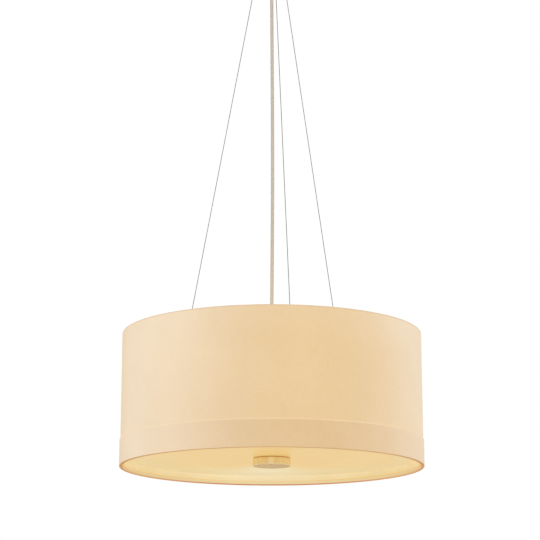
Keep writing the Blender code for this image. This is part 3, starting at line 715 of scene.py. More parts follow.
def shade_cloth(name, dim_glow, bright_glow, edges, foot, foot_rise):
    """Fine cream weave lit from inside: paler by the lamps and upwards, deeper between them.

    Each of the edges is a height, the distance over which it fades, its glow and how much it takes.
    The foot's three glows are painted light and shade: dim for the outside of the fabric rolled round
    the ring, as in shade, and brighter for its inside at the lamp's two sides and at its far side. Its
    last tint is the foot's base colour at the far inside; the foot's base colour is darkened there and
    all round, painted shade and glow. They reach up to the foot's rise.
    """
    yarn_low, yarn_high, yarn_crown_highlight = tint(206, 186, 152), tint(218, 199, 168), tint(224, 207, 178)
    roll_side_glow, roll_far_glow = tint(154, 141, 102), tint(170, 163, 127)
    # painted shade: the foot's darker base tint under the rolled hem
    foot_shade_tint = tint(206, 176, 121)
    outside_shade_glow, side_glow, far_glow, far_shade_glow_tint = foot
    finish = Finish(name, Roughness=0.85, IOR=1.3, Sheen_Weight=0.1, Sheen_Roughness=0.5)
    height, slub = weave(finish, pitch=0.0006)
    place = finish.place()
    x, y, z = finish.split(place)
    azimuth, radius = finish.azimuth(x, y), finish.radius(x, y)
    mottle = finish.noise(place, scale=9.0, detail=4.0)
    cloth = finish.mix(finish.share(slub + mottle * 0.4, 0.52, 0.88), yarn_low, yarn_high)
    # painted highlight on the weave's raised threads
    cloth = finish.mix(height * 0.10, cloth, yarn_crown_highlight)
    glow = cloth_glow(finish, azimuth, z, dim_glow, bright_glow)
    for edge_height, fade, edge_glow, edge_share in edges:
        near = finish.share(finish.maths("ABSOLUTE", z - edge_height), fade, 0.0) * edge_share
        glow = finish.mix(near, glow, edge_glow)
    inner_face = finish.share(radius, shade_radius - 0.0002, shade_radius - 0.0008)
    rolled = inner_face * finish.share(z, shade_bottom + 0.012, shade_bottom + 0.008)
    far_side = glow_spot(finish, azimuth, narrowness=3.0)
    glow = finish.mix(rolled, glow, finish.mix(far_side, roll_side_glow, roll_far_glow))
    low = finish.share(z, shade_bottom + foot_rise, shade_bottom + foot_rise / 2)
    inward = finish.share(radius, shade_radius - 0.0026, shade_radius - 0.0050)
    inside_glow = finish.mix(far_side, side_glow, far_glow)
    glow = finish.mix(low, glow, finish.mix(inward, outside_shade_glow, inside_glow))
    # painted shade and glow in the foot's base colour, deeper orange at the far inside
    cloth = finish.mix(low, cloth, finish.mix(inward * far_side, foot_shade_tint, far_shade_glow_tint))
    glow = finish.mix(finish.share(slub, 0.35, 0.65) * 0.10, glow, dark)
    relief = finish.bump(height * 0.6 + slub * 0.8, distance=0.00012, strength=0.5)
    finish.set(Base_Color=cloth, Emission_Color=glow, Emission_Strength=1.0, Normal=relief)
    return finish.material


def liner_film():
    """Pale laminated film inside the shade, brightest by the lamps and warmer below the disc."""
    film_low, film_high = tint(224, 211, 184), tint(232, 221, 198)
    between_glow, lamp_glow, near_glow = tint(128, 108, 72), tint(150, 134, 100), tint(176, 158, 122)
    side_glow, far_glow, highlight_glow = tint(150, 130, 83), tint(164, 151, 110), tint(165, 154, 124)
    disc_level = low_of("opal_disc")
    finish = Finish("liner_film", Roughness=0.45, IOR=1.35)
    place = finish.place()
    x, y, z = finish.split(place)
    azimuth = finish.azimuth(x, y)
    mottle = finish.noise(place, scale=14.0)
    grain = finish.noise(place, scale=900.0, detail=2.0)
    base = finish.mix(finish.share(mottle + grain * 0.3, 0.45, 0.85), film_low, film_high)
    lit = by_lamps(finish, azimuth)
    near_lamps = finish.share(finish.maths("ABSOLUTE", z - lamp_height), 0.12, 0.0)
    glow = finish.mix(near_lamps * lit, finish.mix(lit, between_glow, lamp_glow), near_glow)
    below_disc = finish.mix(glow_spot(finish, azimuth, narrowness=3.0), side_glow, far_glow)
    # painted highlight on the far side of the wall below the disc
    below_disc = finish.mix(glow_spot(finish, azimuth, narrowness=20.0), below_disc, highlight_glow)
    glow = finish.mix(finish.share(z, disc_level + 0.003, disc_level - 0.001), glow, below_disc)
    relief = finish.bump(grain, distance=0.00006, strength=0.4)
    finish.set(Base_Color=base, Emission_Color=glow, Emission_Strength=1.0, Normal=relief)
    return finish.material


def opal_acrylic():
    """Glossy opal sheet lit from above, with its light and shade painted.

    It is paler towards its rim and at the back, painted glow and a painted reflection of the lit wall,
    and palest at the spot, a painted highlight. It is a little darker at the back rim, painted shade
    of the ring and hem, and paler on its top face, painted light from the lamps.
    """
    # The underside's warm tints and the top's pale one are shaded and lit copies of one opal: painted
    # shade and light
    under_low, under_high, lit_top_tint = tint(186, 161, 107), tint(189, 164, 110), tint(226, 217, 194)
    middle_glow, rim_glow, highlight_glow = tint(181, 149, 88), tint(181, 167, 133), tint(184, 179, 156)
    lit_top_glow = tint(166, 149, 112)
    far_share, all_round_share, rim_share, far_rim_shade = 1.15, 0.10, 0.70, 0.12
    finish = Finish("opal_acrylic", IOR=1.055)
    place = finish.place()
    x, y, z = finish.split(place)
    azimuth, radius = finish.azimuth(x, y), finish.radius(x, y)
    cloud = finish.noise(place, scale=24.0)
    base = finish.mottled(cloud, under_low, under_high)
    far_side = glow_spot(finish, azimuth, narrowness=2.0)
    # painted glow and painted reflection of the lit wall, towards the rim and at the back
    outwards = finish.share(radius, 0.09, 0.22) * (far_side * far_share + all_round_share)
    outwards = outwards + finish.share(radius, 0.19, 0.23) * rim_share
    glow = finish.mix(outwards, middle_glow, rim_glow)
    # painted highlight at the back of the disc
    spot = glow_spot(finish, azimuth, narrowness=35.0) * finish.share(radius, 0.06, 0.15)
    glow = finish.mix(spot, glow, highlight_glow)
    # painted shade at the back rim, from the ring and hem
    glow = finish.mix(finish.share(radius, 0.17, 0.235) * far_side * far_rim_shade, glow, dark)
    # painted light: the top face is paler, as the lamps above light it
    upper = finish.share(z, middle_of("opal_disc"), high_of("opal_disc"))
    base = finish.mix(upper, base, lit_top_tint)
    glow = finish.mix(upper, glow, lit_top_glow)
    relief = finish.bump(finish.noise(place, scale=1600.0, detail=1.0), distance=0.00002, strength=0.3)
    finish.set(Base_Color=base, Emission_Color=glow, Emission_Strength=1.0)
    finish.set(Roughness=cloud * 0.02 + 0.19, Normal=relief)
    return finish.material


def satin_metal():
    """Warm satin metal: brushed up and down its side, turned in fine rings on its face, with painted shade
    on that downward face and a painted shadow in the recess round its top.
    """
    side_low, side_high, side_fine = tint(245, 227, 186), tint(255, 252, 232), tint(243, 225, 184)
    shaded_face_low, shaded_face_high, recess_shadow_tint = tint(196, 163, 108), tint(208, 176, 122), tint(190, 138, 70)
    finish = Finish("satin_metal", Metallic=1.0, Specular_Tint=(1.0, 0.88, 0.66, 1.0))
    x, y, z = finish.split(finish.place())
    radius, azimuth = finish.radius(x, y), finish.azimuth(x, y)
    face = finish.share(z, knob_low + 0.0004, knob_low + 0.0001)
    recess = finish.share(z, knob_high - 0.0013, knob_high - 0.0008)
    brushed = finish.node("ShaderNodeCombineXYZ", inputs={0: azimuth * 3.0, 1: z * 6.0})
    streak = finish.noise(brushed, scale=2.0, detail=4.0)
    fine = finish.noise(brushed, scale=60.0, detail=2.0)
    turned_rings = finish.node("ShaderNodeCombineXYZ", inputs={0: radius * 2400.0})
    rings = finish.noise(turned_rings, scale=1.0, detail=2.0)
    side = finish.mix(finish.share(streak, 0.32, 0.68), side_low, side_high)
    side = finish.mix(fine * 0.25, side, side_fine)
    # painted shadow in the recess round the knob's top
    side = finish.mix(recess, side, recess_shadow_tint)
    marks = finish.node("ShaderNodeMix", {"data_type": "FLOAT"}, {0: face, 2: fine, 3: rings})
    # painted shade: the downward face is darker than the side
    finish.set(Base_Color=finish.mix(face, side, finish.mottled(rings, shaded_face_low, shaded_face_high)))
    finish.set(Roughness=finish.share(streak, 0.2, 0.8) * 0.14 + 0.26)
    finish.set(Normal=finish.bump(marks, distance=0.00003, strength=0.35))
    return finish.material


def powder_coat():
    """White powder coat: fine orange peel, and a little dust on what faces up."""
    finish = Finish("powder_coat", IOR=1.45)
    place = finish.place()
    peel = finish.noise(place, scale=620.0, detail=2.0)
    cloud = finish.noise(place, scale=16.0, detail=4.0)
    colour = finish.mottled(cloud, tint(222, 221, 216), tint(234, 233, 229))
    upward = finish.split(finish.node("ShaderNodeNewGeometry", output="Normal"))[2]
    dusty = finish.share(upward, 0.7, 1.0) * finish.share(cloud, 0.35, 0.75) * 0.35
    finish.set(Base_Color=finish.mix(dusty, colour, tint(205, 200, 190)))
    finish.set(Roughness=peel * 0.12 + 0.36, Normal=finish.bump(peel, distance=0.00008, strength=0.35))
    return finish.material


def zinc_plate():
    """Bright zinc plate: faint spangle, fine scratches and duller patches."""
    finish = Finish("zinc_plate", Metallic=1.0)
    place = finish.place()
    cells = {"Vector": place, "Scale": 380.0}
    spangle = finish.node("ShaderNodeTexVoronoi", inputs=cells, output="Color")
    level = finish.node("ShaderNodeSeparateColor", inputs={0: spangle})
    cloud = finish.noise(place, scale=60.0, detail=4.0)
    scratch = finish.noise(place, scale=300.0, stretch=(1, 1, 9), detail=2.0)
    colour = finish.mix(level * 0.6 + cloud * 0.4, tint(180, 181, 182), tint(210, 210, 208))
    finish.set(Base_Color=colour, Roughness=cloud * 0.25 + level * 0.08 + 0.20)
    finish.set(Normal=finish.bump(scratch, distance=0.00003, strength=0.35))
    return finish.material


def nickel_plate():
    """Nickel-plated brass, a little warm, with turning marks."""
    finish = Finish("nickel_plate", Metallic=1.0)
    place = finish.place()
    marks = finish.noise(place, scale=240.0, stretch=(1, 1, 14), detail=2.0)
    cloud = finish.noise(place, scale=90.0)
    colour = finish.mottled(cloud, tint(206, 200, 188), tint(222, 218, 208))
    finish.set(Base_Color=colour, Roughness=cloud * 0.16 + 0.14)
    finish.set(Normal=finish.bump(marks, distance=0.00003, strength=0.4))
    return finish.material


def stainless_wire():
    """Stranded stainless wire, its colour darkened all over as painted shade between its strands, with
    drawing streaks.
    """
    finish = Finish("stainless_wire", Metallic=1.0)
    grime = finish.noise(finish.place(), scale=70.0)
    drawn = finish.noise(finish.lengths(), scale=1, stretch=(3000, 60, 1), detail=1.0)
    # the tints are darkened as painted shade between the strands
    colour = finish.mottled(grime, tint(120, 115, 111), tint(140, 134, 130))
    finish.set(Base_Color=finish.mix(drawn * 0.3, colour, tint(104, 99, 95)))
    finish.set(Roughness=grime * 0.2 + 0.40)
    return finish.material


def cord_braid():
    """Braided textile over the flex: yarns that lie along each strand, with a little fuzz.

    Two sets of strands cross, each a sine of the way round plus or less the way along, and the sign
    of their product says which is on top. The yarns are the same sines at more to the strand. Where
    the strands meet the colour darkens, painted shade in the grooves between them.
    """
    finish = Finish("cord_braid", Roughness=0.9, IOR=1.3, Sheen_Weight=0.25, Sheen_Roughness=0.5)
    vector = finish.lengths()
    round_it, along, _ = finish.split(vector)
    left = finish.maths("SINE", (round_it + along) * braid_slope)
    right = finish.maths("SINE", (round_it - along) * braid_slope)
    over = finish.maths("SIGN", left * right) * 0.5 + 0.5
    lay_left = finish.maths("SINE", (round_it + along) * (braid_slope * yarns_per_strand))
    lay_right = finish.maths("SINE", (round_it - along) * (braid_slope * yarns_per_strand))
    yarn = lay_left * over + lay_right * (1 - over)
    blotch = finish.noise(vector, scale=300.0)
    colour = finish.mottled(blotch, tint(231, 220, 208), tint(244, 236, 227))
    colour = finish.mix(finish.share(yarn, -1.0, 1.0) * 0.35, tint(212, 200, 186), colour)
    # painted shade in the grooves between the strands
    seam = finish.share(finish.maths("ABSOLUTE", left * right), 0.22, 0.0)
    finish.set(Base_Color=finish.mix(seam * 0.8, colour, tint(194, 180, 164)))
    finish.set(Normal=finish.bump(yarn * 0.5 + blotch * 0.5, distance=0.00008, strength=0.6))
    return finish.material


def moulded_plastic(name, low_tint, high_tint, roughness):
    """Moulded plastic: fine spark texture and slow changes of tone."""
    finish = Finish(name, IOR=1.46)
    place = finish.place()
    spark = finish.noise(place, scale=1500.0, detail=2.0)
    cloud = finish.noise(place, scale=45.0)
    finish.set(Base_Color=finish.mottled(cloud, low_tint, high_tint))
    finish.set(Roughness=spark * 0.16 + (roughness - 0.08))
    finish.set(Normal=finish.bump(spark, distance=0.00004, strength=0.4))
    return finish.material


def bulb_glass():
    """Frosted bulb, alight: warmer by its neck and paler towards its top."""
    neck_glow, top_glow, glow_run = tint(250, 216, 158), tint(255, 240, 208), 0.035
    finish = Finish("bulb_glass", Roughness=0.35, IOR=1.45)
    place = finish.place()
    x, y, _ = finish.split(place)
    frost = finish.noise(place, scale=1100.0, detail=2.0)
    outwards = finish.share(finish.radius(x, y), neck_end, neck_end + glow_run)
    glow = finish.mix(outwards, neck_glow, top_glow)
    finish.set(Base_Color=finish.mix(frost * 0.4, tint(214, 208, 196), tint(200, 194, 182)))
    finish.set(Emission_Color=glow, Emission_Strength=bulb_strength)
    finish.set(Normal=finish.bump(frost, distance=0.00003, strength=0.3))
    return finish.material


finishes = {
    "drum": shade_cloth(
        "drum_cloth",
        dim_glow=tint(146, 111, 53),
        bright_glow=tint(156, 143, 131),
        edges=[
            (band_top + 0.0002, 0.0016, tint(160, 148, 126), 0.6),
            (shade_bottom + shade_height, 0.0030, tint(118, 80, 30), 0.85),
        ],
        # foot: painted shade on the roll's outside, painted glow inside, and the far inside's painted base
        # tint
        foot=(tint(122, 66, 30), tint(194, 150, 100), tint(150, 30, 0), tint(190, 132, 66)),
        foot_rise=0.0016,
    ),
    "band": shade_cloth(
        "band_cloth",
        dim_glow=tint(134, 92, 22),
        bright_glow=tint(155, 143, 133),
        edges=[
            (band_top, 0.0010, tint(172, 154, 122), 0.7),
            (shade_bottom, 0.0010, tint(134, 96, 56), 0.4),
        ],
        # foot: painted shade and glow, as on the drum
        foot=(tint(146, 108, 82), tint(146, 96, 56), tint(146, 96, 56), tint(206, 176, 121)),
        foot_rise=0.0008,
    ),
    "liner": liner_film(),
    "opal": opal_acrylic(),
    "satin": satin_metal(),
    "powder": powder_coat(),
    "zinc": zinc_plate(),
    "nickel": nickel_plate(),
    "wire": stainless_wire(),
    "braid": cord_braid(),
    "plastic": moulded_plastic("white_plastic", tint(222, 219, 211), tint(232, 230, 223), 0.45),
    "bulb": bulb_glass(),
    "bulb_plastic": moulded_plastic("bulb_plastic", tint(228, 227, 223), tint(238, 237, 234), 0.3),
}


# Camera, cord, stage and lights


def make_camera():
    """The photograph's camera."""
    lens = bpy.data.cameras.new("photo_camera")
    lens.sensor_width = sensor_width
    lens.lens = focal_pixels / photo_width * sensor_width
    camera = placed("photo_camera", lens)
    camera.location = camera_place
    camera.rotation_euler = (math.radians(90 + camera_pitch_deg), 0, 0)
    bpy.context.scene.camera = camera


def smooth_route(route, spacing):
    """Points a spacing apart along a smooth curve through a route's points.

    Each stretch is the cubic through its two points whose slope at each is the chord between that
    point's neighbours, over the length run between them.
    """
    points = np.array(route, float)
    runs = np.concatenate([[0], np.cumsum(np.linalg.norm(np.diff(points, axis=0), axis=1))])
    last = len(points) - 1
    places = np.arange(len(points))
    low, high = np.maximum(places - 1, 0), np.minimum(places + 1, last)
    slopes = (points[high] - points[low]) / (runs[high] - runs[low])[:, None]
    run = np.linspace(0, runs[-1], round(runs[-1] / spacing) + 1)
    stretch = np.clip(np.searchsorted(runs, run, side="right") - 1, 0, last - 1)
    span = (runs[stretch + 1] - runs[stretch])[:, None]
    share = (run - runs[stretch])[:, None] / span
    start_weight = 2 * share ** 3 - 3 * share ** 2 + 1
    return (
        points[stretch] * start_weight
        + points[stretch + 1] * (1 - start_weight)
        + slopes[stretch] * (share ** 3 - 2 * share ** 2 + share) * span
        + slopes[stretch + 1] * (share ** 3 - share ** 2) * span
    )


def make_power_cord():
    """The textile cord: a round section with two sets of crossing strands in its surface.

    The radius is the cord's own, less a depth where the product of the two strands' sines is small.
    """
    path = smooth_route(cord_route, cord_row_spacing)
    turn = math.tau * np.arange(cord_columns)[None, :] / cord_columns
    run = np.arange(len(path))[:, None] * cord_row_spacing
    left, right = braid_strands * turn + braid_slope * run, braid_strands * turn - braid_slope * run
    radius = cord_radius - braid_depth * (1 - np.sqrt(np.abs(np.sin(left) * np.sin(right))))
    section = np.stack([radius * np.cos(turn), radius * np.sin(turn)], -1)
    cord = surface(
        "textile_cord", carried(section, path, (1, 0, 0)), finishes["braid"], [path[0], path[-1]],
        math.tau * cord_radius, np.arange(len(path) + 1) * cord_row_spacing, sharp_deg=80,
    )
    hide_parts("power_cord")
    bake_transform(cord)
    path[::rows_per_cord_point].tolist() + [path[-1].tolist()]


def white_rays(nodes):
    """1 for a ray that shows the white background: the camera's, a mirror's or one through glass."""
    kinds = ("Is Camera Ray", "Is Glossy Ray", "Is Transmission Ray")
    rays = [nodes.node("ShaderNodeLightPath", output=kind) for kind in kinds]
    return nodes.maths("MINIMUM", rays[0] + rays[1] + rays[2], 1.0)


def make_stage():
    """A pale floor a room's height under the ceiling, white but for a soft patch under the lamp."""
    floor_size, floor_height = 60.0, -2.6
    patch_radius, patch_fade, patch_share = 1.2, 5.0, 0.55
    mesh = bpy.data.meshes.new("studio_floor")
    corners = [(x, y, floor_height) for x, y in rectangle(floor_size, floor_size)]
    mesh.from_pydata(corners, [], [(0, 1, 2, 3)])
    floor = placed("studio_floor", mesh)
    material = bpy.data.materials.new("studio_floor")
    material.use_nodes = True
    nodes = Nodes(material.node_tree)
    nodes.tree.nodes.clear()
    x, y, _ = nodes.split(nodes.place())
    near = nodes.share(nodes.radius(x, y), patch_fade, patch_radius)
    paint = nodes.node("ShaderNodeBsdfDiffuse", inputs={"Color": tint(228, 227, 225)})
    white = nodes.node("ShaderNodeEmission", inputs={"Color": (1, 1, 1, 1), "Strength": 1.0})
    clear = nodes.node("ShaderNodeBsdfTransparent")
    shows_white = white_rays(nodes) * (1 - near * patch_share)
    seen = nodes.node("ShaderNodeMixShader", inputs={0: shows_white, 1: paint, 2: white})
    under = nodes.node("ShaderNodeNewGeometry", output="Backfacing")
    one_sided = nodes.node("ShaderNodeMixShader", inputs={0: under, 1: seen, 2: clear})
    end = nodes.tree.nodes.new("ShaderNodeOutputMaterial")
    nodes.feed(end.inputs["Surface"], one_sided)
    mesh.materials.append(material)


def make_world(level):
    """A white world: its own level for the light, and plain white where it is seen."""
    world = bpy.data.worlds.new("studio_world")
    world.use_nodes = True
    bpy.context.scene.world = world
    nodes = Nodes(world.node_tree)
    background = nodes.tree.nodes["Background"]
    nodes.feed(background.inputs["Color"], (1, 1, 1, 1))
    nodes.feed(background.inputs["Strength"], white_rays(nodes) * (1 - level) + level)


def make_light(name, place, aim, size, power):
    """A soft square light that faces a point."""
    lamp = bpy.data.lights.new(name, "AREA")
    lamp.size = size
    lamp.energy = power
    light = placed(name, lamp)
    towards = np.array(aim, float) - np.array(place, float)
    towards /= np.linalg.norm(towards)
    light.location = place
    light.rotation_euler = (math.acos(-towards[2]), 0, -math.atan2(towards[0], towards[1]))


# What hangs from the ceiling


def make_bracket():
    """The zinc strip with its ends bent down, slots for its ceiling screws and holes for the cup's."""
    bend_radius = 0.0022
    slot_distance, slot_radius, slot_length = 0.027, 0.0023, 0.010
    low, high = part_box("ceiling_bracket")
    centre, level = high.x - zinc_sheet / 2, -zinc_sheet / 2
    corners = [(-centre, low.z), (-centre, level), (centre, level), (centre, low.z)]
    bend = eased(corners, bend_radius, closed=False, steps=6)
    path = np.stack([bend[:, 0], np.zeros(len(bend)), bend[:, 1]], -1)
    strip = strap("bracket_strip", path, 2 * high.y, zinc_sheet, finishes["zinc"], (0, 1, 0))
    cutters = []
    half_run = slot_length / 2 - slot_radius
    for side in (-1, 1):
        middle = side * slot_distance
        for end in (-1, 1):
            start = (middle + end * half_run, 0, -zinc_sheet)
            cutters.append(drill(slot_radius, 2 * zinc_sheet, start, (0, 0, -1)))
        cutters.append(bar((2 * half_run, 2 * slot_radius, 4 * zinc_sheet), (middle, 0, level)))
        start = (side * high.x, 0, -canopy_screw_drop)
        cutters.append(drill(canopy_screw_radius + gap, 2 * zinc_sheet, start, (side, 0, 0)))
    bored(strip, cutters)
    fit(strip, "canopy", "zinc_steel", "ceiling_bracket")


def make_canopy():
    """The spun cup, with eased edges and its holes for the cord, the swivels and the side screws."""
    edge, inner_edge, rim_edge, hole_edge = 0.004, 0.003, 0.0004, 0.0002
    grip_hole = 0.0053
    inside, top = canopy_radius - canopy_wall, high_of("canopy_cup")
    corners = [
        (canopy_radius, top), (canopy_radius, canopy_under), (grip_hole, canopy_under),
        (grip_hole, plate_top), (inside, plate_top), (inside, top),
    ]
    outline = eased(corners, [rim_edge, edge, hole_edge, hole_edge, inner_edge, rim_edge], steps=8)
    cup = turned("canopy_cup_spun", rows(outline, spacing=0.004), finishes["powder"], sides=192)
    cutters = []
    for azimuth in wire_azimuths:
        centre = out(azimuth) * wire_pivot_radius + (0, 0, canopy_under)
        cutters.append(drill(swivel_hole, 3 * canopy_wall, centre, (0, 0, -1), sides=48))
    for side in (-1, 1):
        centre = (side * canopy_radius, 0, -canopy_screw_drop)
        cutters.append(drill(canopy_screw_radius + gap, 3 * canopy_wall, centre, (side, 0, 0)))
    bored(cup, cutters)
    fit(cup, "canopy", "white_steel", "canopy_cup")


def make_canopy_screws():
    """Two pan-head screws with a slot across the head and a thread on the shank."""
    head, height, inside = 0.0045, 0.003, 0.010
    shank = canopy_screw_radius
    slot_depth, slot_width = 0.0022, 0.0011
    corners = [(0, height), (head, height), (head, 0), (shank, 0), (shank, -inside), (0, -inside)]
    outline = eased(corners, [0, 0.0016, 0.0003, 0, 0.0005, 0], closed=False, steps=6)
    profile = rows(outline, spacing=0.00018)
    cut = thread(pitch=0.0007, depth=0.0003, high=-0.0006, least_radius=shank * 0.7)
    for side, name in ((-1, "left"), (1, "right")):
        seat = (side * (canopy_radius + gap), 0, -canopy_screw_drop)
        screw = turned(
            f"cup_screw_{name}", profile, finishes["zinc"], seat, (side, 0, 0), sides=48, swell=cut
        )
        slot_middle = (side * (canopy_radius + gap + height), 0, -canopy_screw_drop)
        bored(screw, [bar((slot_depth, 2.2 * head, slot_width), slot_middle)])
        fit(screw, "canopy", "zinc_steel", f"canopy_screw_{name}")


def make_terminal_block():
    """The moulded block: notched between its poles, with a lead hole and two screw wells for each.

    Its outline shrinks towards its top and foot by a quarter circle's share of the edge.
    """
    low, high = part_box("terminal_block")
    length, width, height = high - low
    middle = (low.z + high.z) / 2
    edge = 0.001
    outline = eased(rectangle(length, width), edge)
    bend = np.linspace(0, math.pi / 2, 5)
    inset, lift = edge * (1 - np.sin(bend)), edge * (1 - np.cos(bend))
    levels = np.concatenate([-height / 2 + lift, height / 2 - lift[::-1]])
    shrink = np.concatenate([inset, inset[::-1]])
    flat = outline[None] * (1 - shrink[:, None, None] / np.array([length / 2, width / 2]))
    tall = np.broadcast_to(levels[:, None, None], (len(levels), len(outline), 1))
    grid = np.concatenate([flat, tall + middle], -1)
    ends = [(0, 0, low.z), (0, 0, high.z)]
    block = surface("lead_terminal", grid, finishes["plastic"], ends, 2 * (length + width))
    pitch, lead_hole, well, notch, cut = 0.009, 0.0018, 0.0019, 0.0016, 0.0046
    well_place, well_depth = 0.0045, 0.0022
    poles = [(pole - 1) * pitch for pole in range(3)]
    cutters = []
    for side in (-1, 1):
        for between in (-pitch / 2, pitch / 2):
            cutters.append(bar((notch, cut, 2 * height), (between, side * width / 2, middle)))
    for x in poles:
        cutters.append(drill(lead_hole, width + edge, (x, -width / 2, middle), (0, -1, 0)))
        for side in (-1, 1):
            cutters.append(drill(well, well_depth, (x, side * well_place, low.z), (0, 0, -1)))
    bored(block, cutters)
    fit(block, "canopy", "white_plastic", "terminal_block")
    head, head_height, foot, sunk = well - 2 * hair, 0.0006, -0.0012, 0.0009
    slot_width, slot_depth = 0.0005, 0.0009
    corners = [(0, head_height), (head, head_height), (head, foot), (0, foot)]
    profile = eased(corners, [0, 0.0003, 0.0001, 0], closed=False)
    for pole, x in enumerate(poles, 1):
        for side, name in ((-1, "near"), (1, "far")):
            y = side * well_place
            seat = (x, y, low.z + sunk)
            piece_name = f"lead_screw_{pole}_{name}"
            screw = turned(piece_name, profile, finishes["nickel"], seat, (0, 0, -1), sides=32)
            bored(screw, [bar((slot_width, cut, slot_depth), (x, y, low.z + sunk - head_height))])
            fit(screw, "canopy", "white_plastic", "terminal_block")


def hex_nut(name, low, high, corner, bore, finish):
    """A six-sided nut, turned off at its corners on both faces, with an eased bore."""
    flat = corner * math.cos(math.pi / 6)
    turned_off, fall, edge = flat - (corner - flat) * 0.2, (corner - flat) * 0.55, 0.0004
    corners = [
        (turned_off, high), (corner, high - fall), (corner, low + fall), (turned_off, low),
        (bore + edge, low), (bore, low + edge), (bore, high - edge), (bore + edge, high),
    ]
    return turned(name, rows(corners, spacing=0.0004), finish, sides=144, swell=hexagon(corner))


def make_upper_grip():
    """The cord grip under the cup, fluted round its flange, and its nut on the cup's floor."""
    shank, flange, tip, shoulder = 0.005, 0.008, 0.0045, 0.0062
    flange_height, nut_corner = 0.003, 0.009
    low, top, under = low_of("cord_grip_upper"), high_of("cord_grip_upper"), canopy_under - gap
    flange_low = under - flange_height
    corners = [
        (shank, top), (shank, under), (flange, under), (flange, flange_low), (shoulder, flange_low),
        (tip, low), (cord_bore_radius, low), (cord_bore_radius, top),
    ]
    outline = eased(corners, [0.0004, 0, 0.0004, 0.0007, 0.0005, 0.0008, 0.0003, 0.0003])
    screwed = thread(
        pitch=0.0008, depth=0.0003, low=plate_top + 0.0002, high=top - 0.0004, least_radius=shank * 0.8
    )
    fluted = flutes(
        count=30, depth=0.0003, low=flange_low + 0.0004, high=under - 0.0003,
        least_radius=flange - 0.0005,
    )

    def shaped(turn, height, radius):
        return fluted(turn, height, screwed(turn, height, radius))

    profile = rows(outline, spacing=0.0002)
    grip = turned("grip_under_cup", profile, finishes["plastic"], sides=240, swell=shaped)
    fit(grip, "canopy", "white_plastic", "cord_grip_upper")
    low, high = low_of("cord_grip_nut"), high_of("cord_grip_nut")
    nut = hex_nut("grip_nut_in_cup", low, high, nut_corner, shank + gap, finishes["plastic"])
    fit(nut, "canopy", "white_plastic", "cord_grip_nut")


def make_seats():
    """The zinc cup that each swivel ball turns in."""
    cup, outer, bore = 0.0054, 0.0078, 0.0042
    bottom = plate_top + gap - pivot_height
    start = math.degrees(math.asin(bore / cup)) - 90
    corners = [(cup, 0), (outer, 0), (outer, bottom), (bore, bottom)]
    shell = eased(corners, [0, 0.0005, 0.0005, 0.0002], closed=False)
    profile = np.concatenate([shell, arc((0, 0), cup, start, -3, steps=10)])
    for number, azimuth in enumerate(wire_azimuths, 1):
        place = out(azimuth) * wire_pivot_radius + (0, 0, pivot_height)
        seat = turned(f"swivel_cup_{number}", profile, finishes["zinc"], place, sides=72)
        fit(seat, "canopy", "zinc_steel", f"gripper_seat_{number}")


# The wires and what is on them


def wire_line(azimuth):
    """A wire's pivot point, its foot point and the direction up it."""
    top = out(azimuth) * wire_pivot_radius + (0, 0, pivot_height)
    foot = out(azimuth) * wire_foot_radius + (0, 0, foot_height)
    return top, foot, (top - foot) / np.linalg.norm(top - foot)


def make_wire(number, top, foot, up):
    """Stranded wire: six strands twisted round one.

    With strands a third of the wire's radius thick, and the angle taken from a strand's middle, the
    outline's distance from the axis is that radius times twice the cosine plus the root of one less
    four times the sine squared. The whole outline turns once for each lay of the wire.
    """
    strand, lay, row_spacing, columns = wire_radius / 3, 0.012, 0.001, 36
    foot_end, top_end = 0.0055, 0.009
    start, end = foot - up * foot_end, top + up * top_end
    length = np.linalg.norm(end - start)
    run = np.linspace(0, length, round(length / row_spacing) + 1)
    turn = math.tau * np.arange(columns) / columns
    lobe = (turn + math.pi / 6) % (math.pi / 3) - math.pi / 6
    distance = strand * (2 * np.cos(lobe) + np.sqrt(np.maximum(1 - 4 * np.sin(lobe) ** 2, 0)))
    twisted = turn[None] + math.tau * run[:, None] / lay
    section = np.stack([distance * np.cos(twisted), distance * np.sin(twisted)], -1)
    grid = carried(section, start + run[:, None] * up, (0, 1, 0))
    wire = surface(
        f"stranded_wire_{number}", grid, finishes["wire"], [start, end], math.tau * wire_radius, run,
        sharp_deg=100,
    )
    fit(wire, f"wire_{number}", "wire_steel", f"suspension_wire_{number}")


